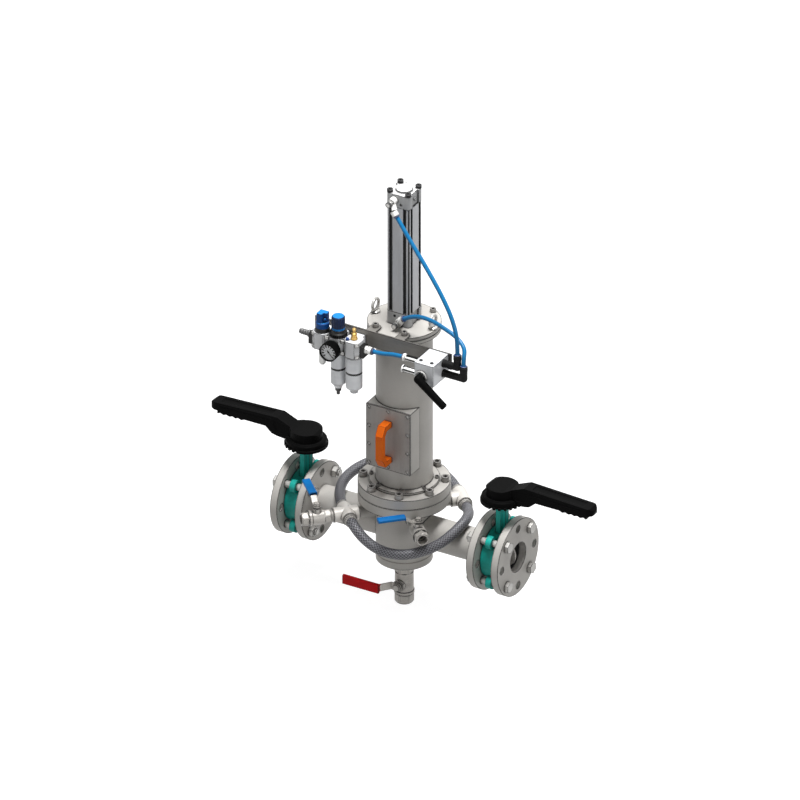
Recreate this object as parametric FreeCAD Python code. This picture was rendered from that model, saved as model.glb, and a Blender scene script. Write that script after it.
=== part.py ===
import FreeCAD, Part
import math
import os

# Automatic magnetic separator for a pipeline: a flanged vessel with magnets in sleeves, lifted by an air cylinder.
# Sizes are in millimetres. Shapes are drawn about the vessel's axis, with the pipe's axis at height 0,
# and are moved at export so that the origin is the centre of the inlet flange's face, +X downstream, +Z up.

Vec = FreeCAD.Vector
X = Vec(1, 0, 0)
Y = Vec(0, 1, 0)
Z = Vec(0, 0, 1)

# Pipeline and its flanges
SPAN = 590.0
PIPE_OD = 76.1
PIPE_WALL = 2.9
FLANGE_OD = 185.0
FLANGE_T = 18.0
FLANGE_PCD = 145.0
FLANGE_HOLE_D = 18.0
FLANGE_HOLES = 8
FLANGE_BOLTS = 4
BOLT_D = 16.0
BOLT_AF = 24.0
BOLT_HEAD_T = 10.0
NUT_T = 13.0
STUD_END = 5.0

# Vessel and its ring flanges
SHELL_OD = 129.0
SHELL_WALL = 3.0
SHELL_BOTTOM = -65.0
BOTTOM_CAP_H = 20.0
BOTTOM_CAP_T = 6.0
RING_OD = 210.0
RING_Z = 72.0
LOWER_RING_T = 24.0
UPPER_RING_T = 24.0
RING_PCD = 186.0
RING_SCREWS = 8
RING_SCREW_D = 12.0
RING_SCREW_HEAD_D = 19.0
COLLAR_OD = 160.0
COLLAR_T = 6.0
COLLAR_PCD = 148.0
COLLAR_SCREW_D = 6.0
COLLAR_SCREW_HEAD_D = 9.0
SCREW_START = 22.5

# Branches for the hoses and the sample valve
BRANCH_Z = 48.0
BRANCH_OD = 26.9
BRANCH_WALL = 2.6
BRANCH_END = 107.0
SAMPLE_BRANCH_END = 86.0
DRAIN_NIPPLE_L = 12.0
FEED_ANGLE = -135.0
RETURN_ANGLE = 45.0
SAMPLE_ANGLE = -45.0

# Magnets, sleeves and tube sheet
SLEEVES = 6
SLEEVE_PCD = 78.0
SLEEVE_OD = 25.0
SLEEVE_WALL = 1.0
SLEEVE_BOTTOM = -55.0
TUBE_SHEET_OD = 160.0
TUBE_SHEET_T = 8.0
MAGNET_D = 21.0
MAGNET_GAP = 3.0
CARRIER_OD = 110.0
CARRIER_T = 12.0
CARRIER_Z = 140.0
MAGNET_DISC_T = 20.0
GASKET_T = 2.0
LID_GASKET_T = 1.0

# Housing above the vessel
HOUSING_TOP = 520.0
TOP_FLANGE_T = 9.0
LID_OD = 168.0
LID_T = 9.0
LID_EDGE = 9.5
LID_SCREW_D = 8.0
LID_SCREW_HEAD_D = 14.0
LID_SCREW_ANGLES = (-120.0, -60.0, 60.0, 120.0)
EYE_ANGLES = (0.0, 180.0)
EYE_WIRE_D = 7.0
EYE_RING_D = 27.0
EYE_COLLAR_D = 21.0
EYE_COLLAR_H = 6.0
EYE_THREAD_D = 8.0

# Inspection window
WINDOW_W = 114.0
WINDOW_H = 158.0
WINDOW_Z = 177.0
WINDOW_FRONT = 73.2
COVER_T = 3.0
WINDOW_LAND = 14.0
COVER_SCREW_D = 4.0
COVER_SCREW_HEAD_D = 9.0
COVER_SCREW_HEAD_H = 2.5
COVER_SCREW_EDGE = 7.5
COVER_SCREW_ROWS = 4
HANDLE_MARGIN = 27.0
HANDLE_W = 20.0
HANDLE_OUT = 41.0
HANDLE_BAR = 13.0
HANDLE_CHAMFER = 22.0
HANDLE_SHIFT = 4.0

# Air cylinder
CYL_SIDE = 60.0
CYL_BORE = 50.0
CAP_H = 33.0
BARREL_L = 272.0
CYL_SCREW_PITCH = 47.0
CYL_SCREW_D = 6.0
CYL_SCREW_HEAD_D = 14.0
CYL_SCREW_HEAD_H = 7.0
BOSS_D = 38.0
BOSS_H = 4.0
SPIGOT_D = 40.0
ROD_D = 20.0
ROD_END_D = 16.0
ROD_NUT_AF = 24.0
PISTON_T = 22.0
PISTON_START = 6.0
GROOVE_W = 8.0
GROOVE_D = 5.5
GROOVE_OFFSET = 18.0
CORNER_R = 7.0
PORT_D = 12.0
PORT_DEPTH = 9.0
PORT_ASIDE = 8.0
PORT_RISE = 2.3
CUSHION_D = 5.0
CUSHION_DROP = 6.8
CAP_RECESS_W = 28.0
CAP_RECESS_D = 4.0
RING_CHAMFER = 1.0

# Butterfly valves
WAFER_T = 46.0
WAFER_OD = 124.0
LINER_OD = 82.0
DISC_D = 69.0
DISC_T = 9.0
STEM_D = 16.0
STEM_TOP = 178.0
STEM_COVER = 7.0
NECK_L = 26.0
NECK_W = 38.0
NECK_RIB = 12.0
PAD_W = 60.0
PAD_T = 8.0
NOTCH_Z = 136.0
NOTCH_T = 6.0
NOTCH_OD = 100.0
NOTCHES = 7
NOTCH_STEP = 15.0
TOOTH_W = 6.0
TOOTH_IN = 45.0
TOOTH_ENGAGE = 1.2
EAR_OD = 30.0
EAR_T = 14.0
HUB_D = 94.0
HUB_Z = 143.0
HUB_RIM_T = 10.0
HUB_TOP_D = 74.0
LEVER_W = 36.0
LEVER_L = 243.0
LATCH_W = 12.0
LATCH_PAD_W = 24.0
LATCH_PIVOT = 20.0
LATCH_PIVOT_Z = HUB_Z + 9
LATCH_PIN_D = 6.0
LATCH_END = 224.0

# Hoses and tees
HOSE_OD = 24.0
TEE_R = 134.0
TEE_OD = 34.0
TEE_HALF = 28.0
CROSS_END = 166.0
TEE_SOCKET = 4.0
AIR_TUBE_OD = 10.0

# Bracket and air preparation
BRACKET_T = 4.0
BRACKET_H = 40.0
BRACKET_LEFT = -180.0
BRACKET_RIGHT = 173.0
BRACKET_GAP = 1.0
TAB_W = 26.0
UNIT_W = 40.0
UNIT_D = 40.0
UNIT_H = 41.0
UNIT_Z = 480.0
UNIT_CHAMFER = 9.0
MOUNT_PAD_T = 9.0
MOUNT_PAD_W = 26.0
UNIT_GAP = 1.0
LUBRICATOR_X = -62.0
END_PLATE_T = 10.0
END_PLATE_W = 22.0
BARB_L = 28.0
BOWL_D = 38.0
FILTER_BOWL_D = 34.0
BOWL_SEAM_Z = 438.0
BOWL_LOW_Z = 394.0
BOWL_NECK_D = 29.0
SHUTOFF_BASE_H = 9.0
SHUTOFF_KNOB_H = 37.0
SILENCER_Z = 434.0
BONNET_D = 40.0
BONNET_H = 16.0
KNOB_D = 31.0
KNOB_H = 33.0
GAUGE_D = 44.0
GAUGE_T = 24.0
GAUGE_Z = 497.0
GAUGE_STEM = 4.0

# Hand valve at the bracket's right end
BLOCK_W = 50.0
BLOCK_D = 70.0
BLOCK_H = 52.0
BLOCK_RIGHT = 167.0
HAND_LEVER_L = 88.0
HAND_LEVER_D = 20.0
HAND_BOSS_D = 26.0
HAND_LEVER_ANGLE = -38.0

# Fits and clearances
SLIP = 0.05
RUN = 0.3
SEAT = 0.1

HALF = SPAN / 2
FACE_IN = HALF - FLANGE_T
WAFER_IN = FACE_IN - WAFER_T
FLANGE_BACK = WAFER_IN - FLANGE_T
VALVE_X = WAFER_IN + WAFER_T / 2
PIPE_R = PIPE_OD / 2
PIPE_BORE_R = PIPE_R - PIPE_WALL
SHELL_R = SHELL_OD / 2
SHELL_BORE_R = SHELL_R - SHELL_WALL
RING_MID = RING_Z + LOWER_RING_T
RING_TOP = RING_MID + UPPER_RING_T
COLLAR_TOP = RING_TOP + COLLAR_T
LID_BOTTOM = HOUSING_TOP + LID_GASKET_T
LID_TOP = LID_BOTTOM + LID_T
LID_PCD = LID_OD - 2 * LID_EDGE
SHEET_BOTTOM = RING_MID + GASKET_T
SHEET_TOP = SHEET_BOTTOM + TUBE_SHEET_T
BARREL_BOTTOM = LID_TOP + CAP_H
BARREL_TOP = BARREL_BOTTOM + BARREL_L
CYL_TOP = BARREL_TOP + CAP_H
VESSEL_LOW = SHELL_BOTTOM - BOTTOM_CAP_H
BRACKET_BACK = -(LID_OD / 2 + BRACKET_GAP)
BRACKET_FRONT = BRACKET_BACK - BRACKET_T
BRACKET_TOP = LID_TOP + BRACKET_T
UNIT_Y = BRACKET_FRONT - MOUNT_PAD_T - UNIT_D / 2
UNIT_TOP = UNIT_Z + UNIT_H
REGULATOR_X = LUBRICATOR_X - UNIT_W - UNIT_GAP
SHUTOFF_X = REGULATOR_X - UNIT_W - UNIT_GAP
BLOCK_TOP = BRACKET_TOP
BLOCK_LEFT = BLOCK_RIGHT - BLOCK_W
BLOCK_FRONT = BRACKET_FRONT - BLOCK_D
BLOCK_LOW = BLOCK_TOP - BLOCK_H


def cyl(radius, height, base, axis=Z):
    return Part.makeCylinder(radius, height, base, axis)


def cone(low, high, height, base, axis=Z):
    return Part.makeCone(low, high, height, base, axis)


def block(x0, x1, y0, y1, z0, z1):
    return Part.makeBox(x1 - x0, y1 - y0, z1 - z0, Vec(x0, y0, z0))


def join(shapes):
    joined = shapes[0].multiFuse(shapes[1:])
    return joined.removeSplitter()


def less(shape, tools):
    for tool in tools:
        shape = shape.cut(tool)
    return shape


def turn(points, base=Vec(0, 0, 0), axis=Z):
    """Revolves (radius, height) points about the axis, standing on the base point."""
    wire = Part.makePolygon([Vec(r, 0, h) for r, h in points + points[:1]])
    solid = Part.Face(wire).revolve(Vec(0, 0, 0), Z, 360)
    solid.Placement = FreeCAD.Placement(base, FreeCAD.Rotation(Z, axis))
    return solid


def slab(points, depth, origin=Vec(0, 0, 0), across=Y):
    """Extrudes a closed outline of (x, z) points by depth, centred on the plane through the origin."""
    corners = [Vec(x, 0, z) for x, z in points + points[:1]]
    solid = Part.Face(Part.makePolygon(corners)).extrude(Vec(0, depth, 0))
    solid.translate(Vec(0, -depth / 2, 0))
    solid.Placement = FreeCAD.Placement(origin, FreeCAD.Rotation(Y, across)).multiply(solid.Placement)
    return solid


def hexagon(across_flats, height, base, axis=Z):
    radius = across_flats / math.sqrt(3)
    corners = [Vec(radius * math.cos(math.radians(60 * i)), radius * math.sin(math.radians(60 * i)), 0)
               for i in range(7)]
    solid = Part.Face(Part.makePolygon(corners)).extrude(Vec(0, 0, height))
    solid.Placement = FreeCAD.Placement(base, FreeCAD.Rotation(Z, axis))
    return solid


def about_z(shape, angle, centre=Vec(0, 0, 0)):
    turned = shape.copy()
    turned.rotate(centre, Z, angle)
    return turned


def radial(angle):
    return Vec(math.cos(math.radians(angle)), math.sin(math.radians(angle)), 0)


def at(angle, radius, height):
    return radial(angle) * radius + Z * height


def soften(shape, radius, pick):
    """Rounds the edges that the test picks out."""
    edges = [edge for edge in shape.Edges if pick(edge)]
    return shape.makeFillet(radius, edges)


def upright(edge):
    first, last = edge.Vertexes[0].Point, edge.Vertexes[-1].Point
    return abs(first.x - last.x) < 1e-6 and abs(first.y - last.y) < 1e-6 and abs(first.z - last.z) > 1


def cap_screw(diameter, length, head_d, seat, axis=Z):
    """A socket head screw: the head stands on the seat along the axis, the shank runs the other way."""
    head = cyl(head_d / 2, diameter, seat, axis)
    socket = hexagon(diameter * 0.8, diameter * 0.5, seat + axis * diameter * 0.5, axis)
    shank = cyl(diameter / 2, length, seat - axis * length, axis)
    return join([head.cut(socket), shank])


def spaced(count, start=0.0):
    return [start + 360.0 * i / count for i in range(count)]


def bolt_points(x, pcd, count, start):
    """Points on a bolt circle about the pipe's axis."""
    return [Vec(x, pcd / 2 * math.cos(math.radians(a)), pcd / 2 * math.sin(math.radians(a)))
            for a in spaced(count, start)]


def flange_disc(x0):
    disc = cyl(FLANGE_OD / 2, FLANGE_T, Vec(x0, 0, 0), X)
    holes = [cyl(FLANGE_HOLE_D / 2, FLANGE_T, point, X) for point in bolt_points(x0, FLANGE_PCD, FLANGE_HOLES, 0)]
    return less(disc, holes)


def route(points, radius):
    """A round tube along straight runs joined by tangent arcs as large as the runs allow."""
    points = [Vec(*p) for p in points]
    edges = []
    start = points[0]
    radii = []
    for before, corner, after in zip(points, points[1:], points[2:]):
        into = (corner - before).normalize()
        out = (after - corner).normalize()
        half_turn = into.getAngle(out) / 2
        reach = 0.45 * min(corner.distanceToPoint(before), corner.distanceToPoint(after))
        bend = reach / math.tan(half_turn)
        radii.append(round(bend))
        first = corner - into * reach
        last = corner + out * reach
        centre_way = (out - into).normalize()
        middle = corner + centre_way * (bend / math.cos(half_turn) - bend)
        edges.append(Part.LineSegment(start, first).toShape())
        edges.append(Part.Arc(first, middle, last).toShape())
        start = last
    edges.append(Part.LineSegment(start, points[-1]).toShape())
    spine = Part.Wire(edges)
    way = (points[1] - points[0]).normalize()
    ring = Part.Wire(Part.makeCircle(radius, points[0], way))
    tube = spine.makePipeShell([ring], True, True)
    print("radii", radii, "volume", round(tube.Volume / (math.pi * radius ** 2 * spine.Length), 4))
    return tube


def lower_vessel():
    """Shell, bottom cap, lower ring flange, pipe stubs with their flanges, and the small branches, welded up."""
    cap = turn([(0, 0), (SHELL_R - 4, 0), (SHELL_R, 3), (SHELL_R, BOTTOM_CAP_H), (0, BOTTOM_CAP_H)],
               Vec(0, 0, VESSEL_LOW))
    shell = cyl(SHELL_R, RING_Z - SHELL_BOTTOM, Vec(0, 0, SHELL_BOTTOM))
    ring = turn([(0, 0), (RING_OD / 2, 0), (RING_OD / 2, LOWER_RING_T - RING_CHAMFER),
                 (RING_OD / 2 - RING_CHAMFER, LOWER_RING_T), (0, LOWER_RING_T)], Vec(0, 0, RING_Z))
    pipe = cyl(PIPE_R, 2 * WAFER_IN, Vec(-WAFER_IN, 0, 0), X)
    nipple = cyl(BRANCH_OD / 2, DRAIN_NIPPLE_L, Vec(0, 0, VESSEL_LOW - DRAIN_NIPPLE_L))
    outside = [cap, shell, ring, pipe, nipple, flange_disc(WAFER_IN - FLANGE_T), flange_disc(-WAFER_IN)]
    branch_r = BRANCH_OD / 2
    bore_r = branch_r - BRANCH_WALL
    ends = ((FEED_ANGLE, BRANCH_END), (RETURN_ANGLE, BRANCH_END), (SAMPLE_ANGLE, SAMPLE_BRANCH_END))
    for angle, end in ends:
        outside.append(cyl(branch_r, end, Vec(0, 0, BRANCH_Z), radial(angle)))
    body = join(outside)
    hollow = [cyl(SHELL_BORE_R, RING_MID - VESSEL_LOW, Vec(0, 0, VESSEL_LOW + BOTTOM_CAP_T)),
              cyl(PIPE_BORE_R, 2 * WAFER_IN, Vec(-WAFER_IN, 0, 0), X),
              cyl(bore_r, DRAIN_NIPPLE_L + BOTTOM_CAP_T, Vec(0, 0, VESSEL_LOW - DRAIN_NIPPLE_L))]
    for angle, end in ends:
        hollow.append(cyl(bore_r, end, Vec(0, 0, BRANCH_Z), radial(angle)))
    for angle in spaced(RING_SCREWS, SCREW_START):
        hollow.append(cyl(RING_SCREW_D / 2 + SLIP, LOWER_RING_T - 4, at(angle, RING_PCD / 2, RING_Z + 4)))
    return less(body, hollow)


def upper_flange():
    ring = turn([(0, 0), (RING_OD / 2 - RING_CHAMFER, 0), (RING_OD / 2, RING_CHAMFER), (RING_OD / 2, UPPER_RING_T),
                 (0, UPPER_RING_T)], Vec(0, 0, RING_MID))
    recess = SHEET_TOP - RING_MID
    cuts = [cyl(SHELL_BORE_R, UPPER_RING_T, Vec(0, 0, RING_MID)),
            cyl(TUBE_SHEET_OD / 2 + SEAT, recess, Vec(0, 0, RING_MID))]
    for angle in spaced(RING_SCREWS, SCREW_START):
        cuts.append(cyl(RING_SCREW_D / 2 + 0.75, UPPER_RING_T, at(angle, RING_PCD / 2, RING_MID)))
        cuts.append(cyl(COLLAR_SCREW_D / 2 + SLIP, UPPER_RING_T - recess - 2,
                        at(angle, COLLAR_PCD / 2, SHEET_TOP + 2)))
    return less(ring, cuts)


def ring_screws():
    big = [cap_screw(RING_SCREW_D, UPPER_RING_T + LOWER_RING_T - 8, RING_SCREW_HEAD_D,
                     at(angle, RING_PCD / 2, RING_TOP)) for angle in spaced(RING_SCREWS, SCREW_START)]
    small = [cap_screw(COLLAR_SCREW_D, COLLAR_T + 8, COLLAR_SCREW_HEAD_D,
                       at(angle, COLLAR_PCD / 2, COLLAR_TOP)) for angle in spaced(RING_SCREWS, SCREW_START)]
    return big + small


def gaskets():
    body = cyl(TUBE_SHEET_OD / 2, GASKET_T, Vec(0, 0, RING_MID)).cut(
        cyl(SHELL_BORE_R, GASKET_T, Vec(0, 0, RING_MID)))
    lid_seal = cyl(LID_PCD / 2 - LID_SCREW_D, LID_GASKET_T, Vec(0, 0, HOUSING_TOP)).cut(
        cyl(SHELL_BORE_R, LID_GASKET_T, Vec(0, 0, HOUSING_TOP)))
    return [body, lid_seal]


def sleeve_assembly():
    """Tube sheet with the blind sleeves that the magnets drop into."""
    shapes = [cyl(TUBE_SHEET_OD / 2, TUBE_SHEET_T, Vec(0, 0, SHEET_BOTTOM))]
    bores = []
    for angle in spaced(SLEEVES):
        shapes.append(cyl(SLEEVE_OD / 2, SHEET_TOP - SLEEVE_BOTTOM, at(angle, SLEEVE_PCD / 2, SLEEVE_BOTTOM)))
        floor = SLEEVE_BOTTOM + 2 * SLEEVE_WALL
        bores.append(cyl(SLEEVE_OD / 2 - SLEEVE_WALL, SHEET_TOP - floor, at(angle, SLEEVE_PCD / 2, floor)))
    return less(join(shapes), bores)


def housing():
    """Tube with its collar and top flange and the frame of the inspection window."""
    front = WINDOW_FRONT - COVER_T
    tube = cyl(SHELL_R, HOUSING_TOP - RING_TOP, Vec(0, 0, RING_TOP))
    collar = cyl(COLLAR_OD / 2, COLLAR_T, Vec(0, 0, RING_TOP))
    top = cyl(LID_OD / 2, TOP_FLANGE_T, Vec(0, 0, HOUSING_TOP - TOP_FLANGE_T))
    frame = block(-WINDOW_W / 2, WINDOW_W / 2, -front, 0, WINDOW_Z, WINDOW_Z + WINDOW_H)
    body = join([tube, collar, top, frame])
    opening = block(-WINDOW_W / 2 + WINDOW_LAND, WINDOW_W / 2 - WINDOW_LAND, -front, 0,
                    WINDOW_Z + WINDOW_LAND, WINDOW_Z + WINDOW_H - WINDOW_LAND)
    cuts = [cyl(SHELL_BORE_R, HOUSING_TOP - RING_TOP, Vec(0, 0, RING_TOP)), opening]
    for angle in spaced(RING_SCREWS, SCREW_START):
        cuts.append(cyl(COLLAR_SCREW_D / 2 + 0.4, COLLAR_T, at(angle, COLLAR_PCD / 2, RING_TOP)))
    for angle in LID_SCREW_ANGLES + EYE_ANGLES:
        cuts.append(cyl(LID_SCREW_D / 2 + SLIP, TOP_FLANGE_T, at(angle, LID_PCD / 2, HOUSING_TOP - TOP_FLANGE_T)))
    for x, z in cover_screw_places():
        cuts.append(cyl(COVER_SCREW_D / 2 + SLIP, 10, Vec(x, -front, z), Y))
    return less(body, cuts)


def cover_screw_places():
    side = WINDOW_W / 2 - COVER_SCREW_EDGE
    low = WINDOW_Z + COVER_SCREW_EDGE
    step = (WINDOW_H - 2 * COVER_SCREW_EDGE) / (COVER_SCREW_ROWS - 1)
    places = [(x, low + step * row) for x in (-side, side) for row in range(COVER_SCREW_ROWS)]
    return places + [(0, low), (0, low + step * (COVER_SCREW_ROWS - 1))]


def inspection_cover():
    front = WINDOW_FRONT - COVER_T
    plate = block(-WINDOW_W / 2, WINDOW_W / 2, -WINDOW_FRONT, -front, WINDOW_Z, WINDOW_Z + WINDOW_H)
    holes = [cyl(COVER_SCREW_D / 2 + 0.3, COVER_T, Vec(x, -WINDOW_FRONT, z), Y) for x, z in cover_screw_places()]
    return less(plate, holes)


def cover_screws():
    screws = []
    for x, z in cover_screw_places():
        seat = Vec(x, -WINDOW_FRONT, z)
        head = turn([(0, 0), (COVER_SCREW_HEAD_D / 2, 0), (COVER_SCREW_HEAD_D / 2, 1),
                     (COVER_SCREW_HEAD_D / 3, COVER_SCREW_HEAD_H), (0, COVER_SCREW_HEAD_H)], seat, -Y)
        slot = block(-COVER_SCREW_HEAD_D, COVER_SCREW_HEAD_D, -COVER_SCREW_HEAD_H, -1.2, -0.6, 0.6)
        slot.rotate(Vec(0, 0, 0), Y, 45)
        slot.translate(seat)
        shank = cyl(COVER_SCREW_D / 2, COVER_T + 7, seat, Y)
        screws.append(join([head.cut(slot), shank]))
    return screws


def cover_handle():
    """Bridge handle: two feet on the cover, a straight grip and chamfered shoulders."""
    mid = WINDOW_Z + WINDOW_H / 2 - HANDLE_SHIFT
    foot = -WINDOW_FRONT
    out = foot - HANDLE_OUT
    half = WINDOW_H / 2 - HANDLE_MARGIN
    outline = [(foot, -half), (out + HANDLE_CHAMFER * 0.6, -half), (out, -half + HANDLE_CHAMFER),
               (out, half - HANDLE_CHAMFER), (out + HANDLE_CHAMFER * 0.6, half), (foot, half),
               (foot, half - HANDLE_BAR), (out + HANDLE_BAR + 6, half - HANDLE_BAR),
               (out + HANDLE_BAR, half - HANDLE_BAR - 8), (out + HANDLE_BAR, -half + HANDLE_BAR + 8),
               (out + HANDLE_BAR + 6, -half + HANDLE_BAR), (foot, -half + HANDLE_BAR)]
    corners = [Vec(0, y, z + mid) for y, z in outline + outline[:1]]
    body = Part.Face(Part.makePolygon(corners)).extrude(Vec(HANDLE_W, 0, 0))
    body.translate(Vec(-HANDLE_W / 2, 0, 0))
    grip = [e for e in body.Edges if upright(e) and e.Length > half]
    return body.makeFillet(2.5, grip)


def lid():
    plate = cyl(LID_OD / 2, LID_T, Vec(0, 0, LID_BOTTOM))
    cuts = [cyl(SPIGOT_D / 2 + SEAT, LID_T, Vec(0, 0, LID_BOTTOM))]
    for angle in LID_SCREW_ANGLES + EYE_ANGLES:
        cuts.append(cyl(LID_SCREW_D / 2 + 0.5, LID_T, at(angle, LID_PCD / 2, LID_BOTTOM)))
    for dx in (-1, 1):
        for dy in (-1, 1):
            place = Vec(dx * CYL_SCREW_PITCH / 2, dy * CYL_SCREW_PITCH / 2, LID_BOTTOM)
            cuts.append(cyl(CYL_SCREW_D / 2 + SLIP, LID_T, place))
    return less(plate, cuts)


def lid_screws():
    screws = []
    for angle in LID_SCREW_ANGLES:
        seat = BRACKET_TOP if angle < 0 else LID_TOP
        length = seat - HOUSING_TOP + TOP_FLANGE_T - 1
        screws.append(cap_screw(LID_SCREW_D, length, LID_SCREW_HEAD_D, at(angle, LID_PCD / 2, seat)))
    return screws


def lifting_eyes():
    eyes = []
    for angle in EYE_ANGLES:
        base = at(angle, LID_PCD / 2, LID_TOP)
        ring_z = EYE_COLLAR_H + EYE_RING_D / 2
        ring = Part.makeTorus(EYE_RING_D / 2, EYE_WIRE_D / 2, base + Z * ring_z, X)
        collar = turn([(0, 0), (EYE_COLLAR_D / 2, 0), (EYE_COLLAR_D / 2, 2.5), (EYE_WIRE_D / 2 + 1, EYE_COLLAR_H),
                       (0, EYE_COLLAR_H)], base)
        shank = cyl(EYE_THREAD_D / 2, LID_T + LID_GASKET_T + TOP_FLANGE_T - 1,
                    base - Z * (LID_T + LID_GASKET_T + TOP_FLANGE_T - 1))
        eyes.append(join([ring, collar, shank]))
    return eyes


def port_place(z, with_rod):
    """Mouth of a cap's air port. The lower cap is the upper one turned over."""
    side = 1 if with_rod else -1
    return Vec(side * PORT_ASIDE, -CYL_SIDE / 2, z + CAP_H / 2 - side * PORT_RISE)


def cylinder_cap(z, with_rod):
    """An end cap of the air cylinder: a square block with a front port and four screw holes."""
    half = CYL_SIDE / 2
    body = soften(block(-half, half, -half, half, z, z + CAP_H), CORNER_R, upright)
    if with_rod:
        body = join([body, cyl(SPIGOT_D / 2, LID_T, Vec(0, 0, z - LID_T))])
        body = body.cut(cyl(ROD_D / 2 + SLIP, CAP_H + LID_T, Vec(0, 0, z - LID_T)))
    else:
        body = join([body, cyl(BOSS_D / 2, BOSS_H, Vec(0, 0, z + CAP_H))])
    port = port_place(z, with_rod)
    middle = z + CAP_H / 2
    cushion = Vec(-port.x, -half, middle - math.copysign(CUSHION_DROP, port.z - middle))
    cuts = [cyl(PORT_D / 2, PORT_DEPTH, port, Y), cyl(CUSHION_D / 2, PORT_DEPTH / 2, cushion, Y)]
    for dx in (-1, 1):
        deep = dx * (half - CAP_RECESS_D / 2)
        cuts.append(block(deep - CAP_RECESS_D / 2, deep + CAP_RECESS_D / 2, -CAP_RECESS_W / 2, CAP_RECESS_W / 2,
                          z, z + CAP_H))
        for dy in (-1, 1):
            place = Vec(dx * CYL_SCREW_PITCH / 2, dy * CYL_SCREW_PITCH / 2, z)
            cuts.append(cyl(CYL_SCREW_D / 2 + SLIP, CAP_H, place))
    body = less(body, cuts)
    plugs = [cyl(CAP_RECESS_D, CAP_RECESS_D, Vec(side * (half - CAP_RECESS_D), 0, middle), X * side)
             for side in (-1, 1)]
    return join([body] + plugs)


def cylinder_barrel():
    """Extruded barrel: round corners, and two sensor grooves along each face."""
    half = CYL_SIDE / 2 - 0.5
    body = soften(block(-half, half, -half, half, BARREL_BOTTOM, BARREL_TOP), CORNER_R, upright)
    cuts = [cyl(CYL_BORE / 2, BARREL_L, Vec(0, 0, BARREL_BOTTOM))]
    for quarter in range(4):
        for side in (-1, 1):
            groove = block(side * GROOVE_OFFSET - GROOVE_W / 2, side * GROOVE_OFFSET + GROOVE_W / 2,
                           -half, -half + GROOVE_D, BARREL_BOTTOM, BARREL_TOP)
            cuts.append(about_z(groove, 90 * quarter))
    return less(body, cuts)


def cylinder_screws():
    screws = []
    for dx in (-1, 1):
        for dy in (-1, 1):
            place = Vec(dx * CYL_SCREW_PITCH / 2, dy * CYL_SCREW_PITCH / 2, CYL_TOP)
            head = cyl(CYL_SCREW_HEAD_D / 2, CYL_SCREW_HEAD_H, place)
            socket = hexagon(6, 4, place + Z * (CYL_SCREW_HEAD_H - 4))
            shank = cyl(CYL_SCREW_D / 2, CAP_H - 1, place - Z * (CAP_H - 1))
            screws.append(join([head.cut(socket), shank]))
            foot = Vec(place.x, place.y, LID_BOTTOM)
            screws.append(cyl(CYL_SCREW_D / 2, LID_T + CAP_H - 1, foot))
    return screws


def flow_control(port, out, along):
    """Banjo body screwed in the port, a knurled throttle screw and a push-in branch."""
    bolt = cyl(PORT_D / 2 - SEAT, PORT_DEPTH, port, Y)
    banjo = cyl(9, 17, port - Y * 17, Y)
    screw = cyl(5.5, 14, port - Y * 31, Y)
    base = port - Y * 10
    arm = cyl(6.5, along.distanceToPoint(base) - 12, base, (along - base).normalize())
    collar = cyl(8, 12, along - out * 12, out)
    socket = cyl(AIR_TUBE_OD / 2 + SEAT, 8, along - out * 8, out)
    return join([bolt, banjo, screw, arm, collar]).cut(socket)


def piston_rod():
    low = CARRIER_Z - 12
    foot = CARRIER_Z + CARRIER_T
    piston_z = BARREL_BOTTOM + PISTON_START
    rod = cyl(ROD_D / 2, piston_z - foot + PISTON_T, Vec(0, 0, foot))
    end = cyl(ROD_END_D / 2, foot - low, Vec(0, 0, low))
    piston = cyl(CYL_BORE / 2 - SLIP, PISTON_T, Vec(0, 0, piston_z))
    grooves = [cyl(CYL_BORE, 2, Vec(0, 0, piston_z + z)).cut(cyl(CYL_BORE / 2 - 2, 2, Vec(0, 0, piston_z + z)))
               for z in (4, PISTON_T - 6)]
    nut = hexagon(ROD_NUT_AF, 10, Vec(0, 0, low + 2)).cut(cyl(ROD_END_D / 2, 10, Vec(0, 0, low + 2)))
    return [less(join([rod, end, piston]), grooves), nut]


def magnet_carrier():
    disc = cyl(CARRIER_OD / 2, CARRIER_T, Vec(0, 0, CARRIER_Z))
    cuts = [cyl(ROD_END_D / 2 + SLIP, CARRIER_T, Vec(0, 0, CARRIER_Z))]
    for angle in spaced(SLEEVES):
        cuts.append(cyl(4, CARRIER_T, at(angle, SLEEVE_PCD / 2, CARRIER_Z)))
    return less(disc, cuts)


def magnet_bars():
    """Each bar is a stack of magnet discs and thinner pole plates on one rod, held from the carrier."""
    bars = []
    low = SLEEVE_BOTTOM + 2 * SLEEVE_WALL + MAGNET_GAP
    count = int((CARRIER_Z - 20 - low) // MAGNET_DISC_T)
    for angle in spaced(SLEEVES):
        base = at(angle, SLEEVE_PCD / 2, low)
        outline = [(0, 0), (MAGNET_D / 2 - 1, 0)]
        for i in range(count):
            z = 1 + i * MAGNET_DISC_T
            outline += [(MAGNET_D / 2, z), (MAGNET_D / 2, z + MAGNET_DISC_T - 3),
                        (MAGNET_D / 2 - 1, z + MAGNET_DISC_T - 2), (MAGNET_D / 2 - 1, z + MAGNET_DISC_T - 1)]
        top = CARRIER_Z - low
        outline += [(5, 1 + count * MAGNET_DISC_T), (5, top), (4, top), (4, top + CARRIER_T), (0, top + CARRIER_T)]
        bars.append(turn(outline, base))
    return bars


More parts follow.
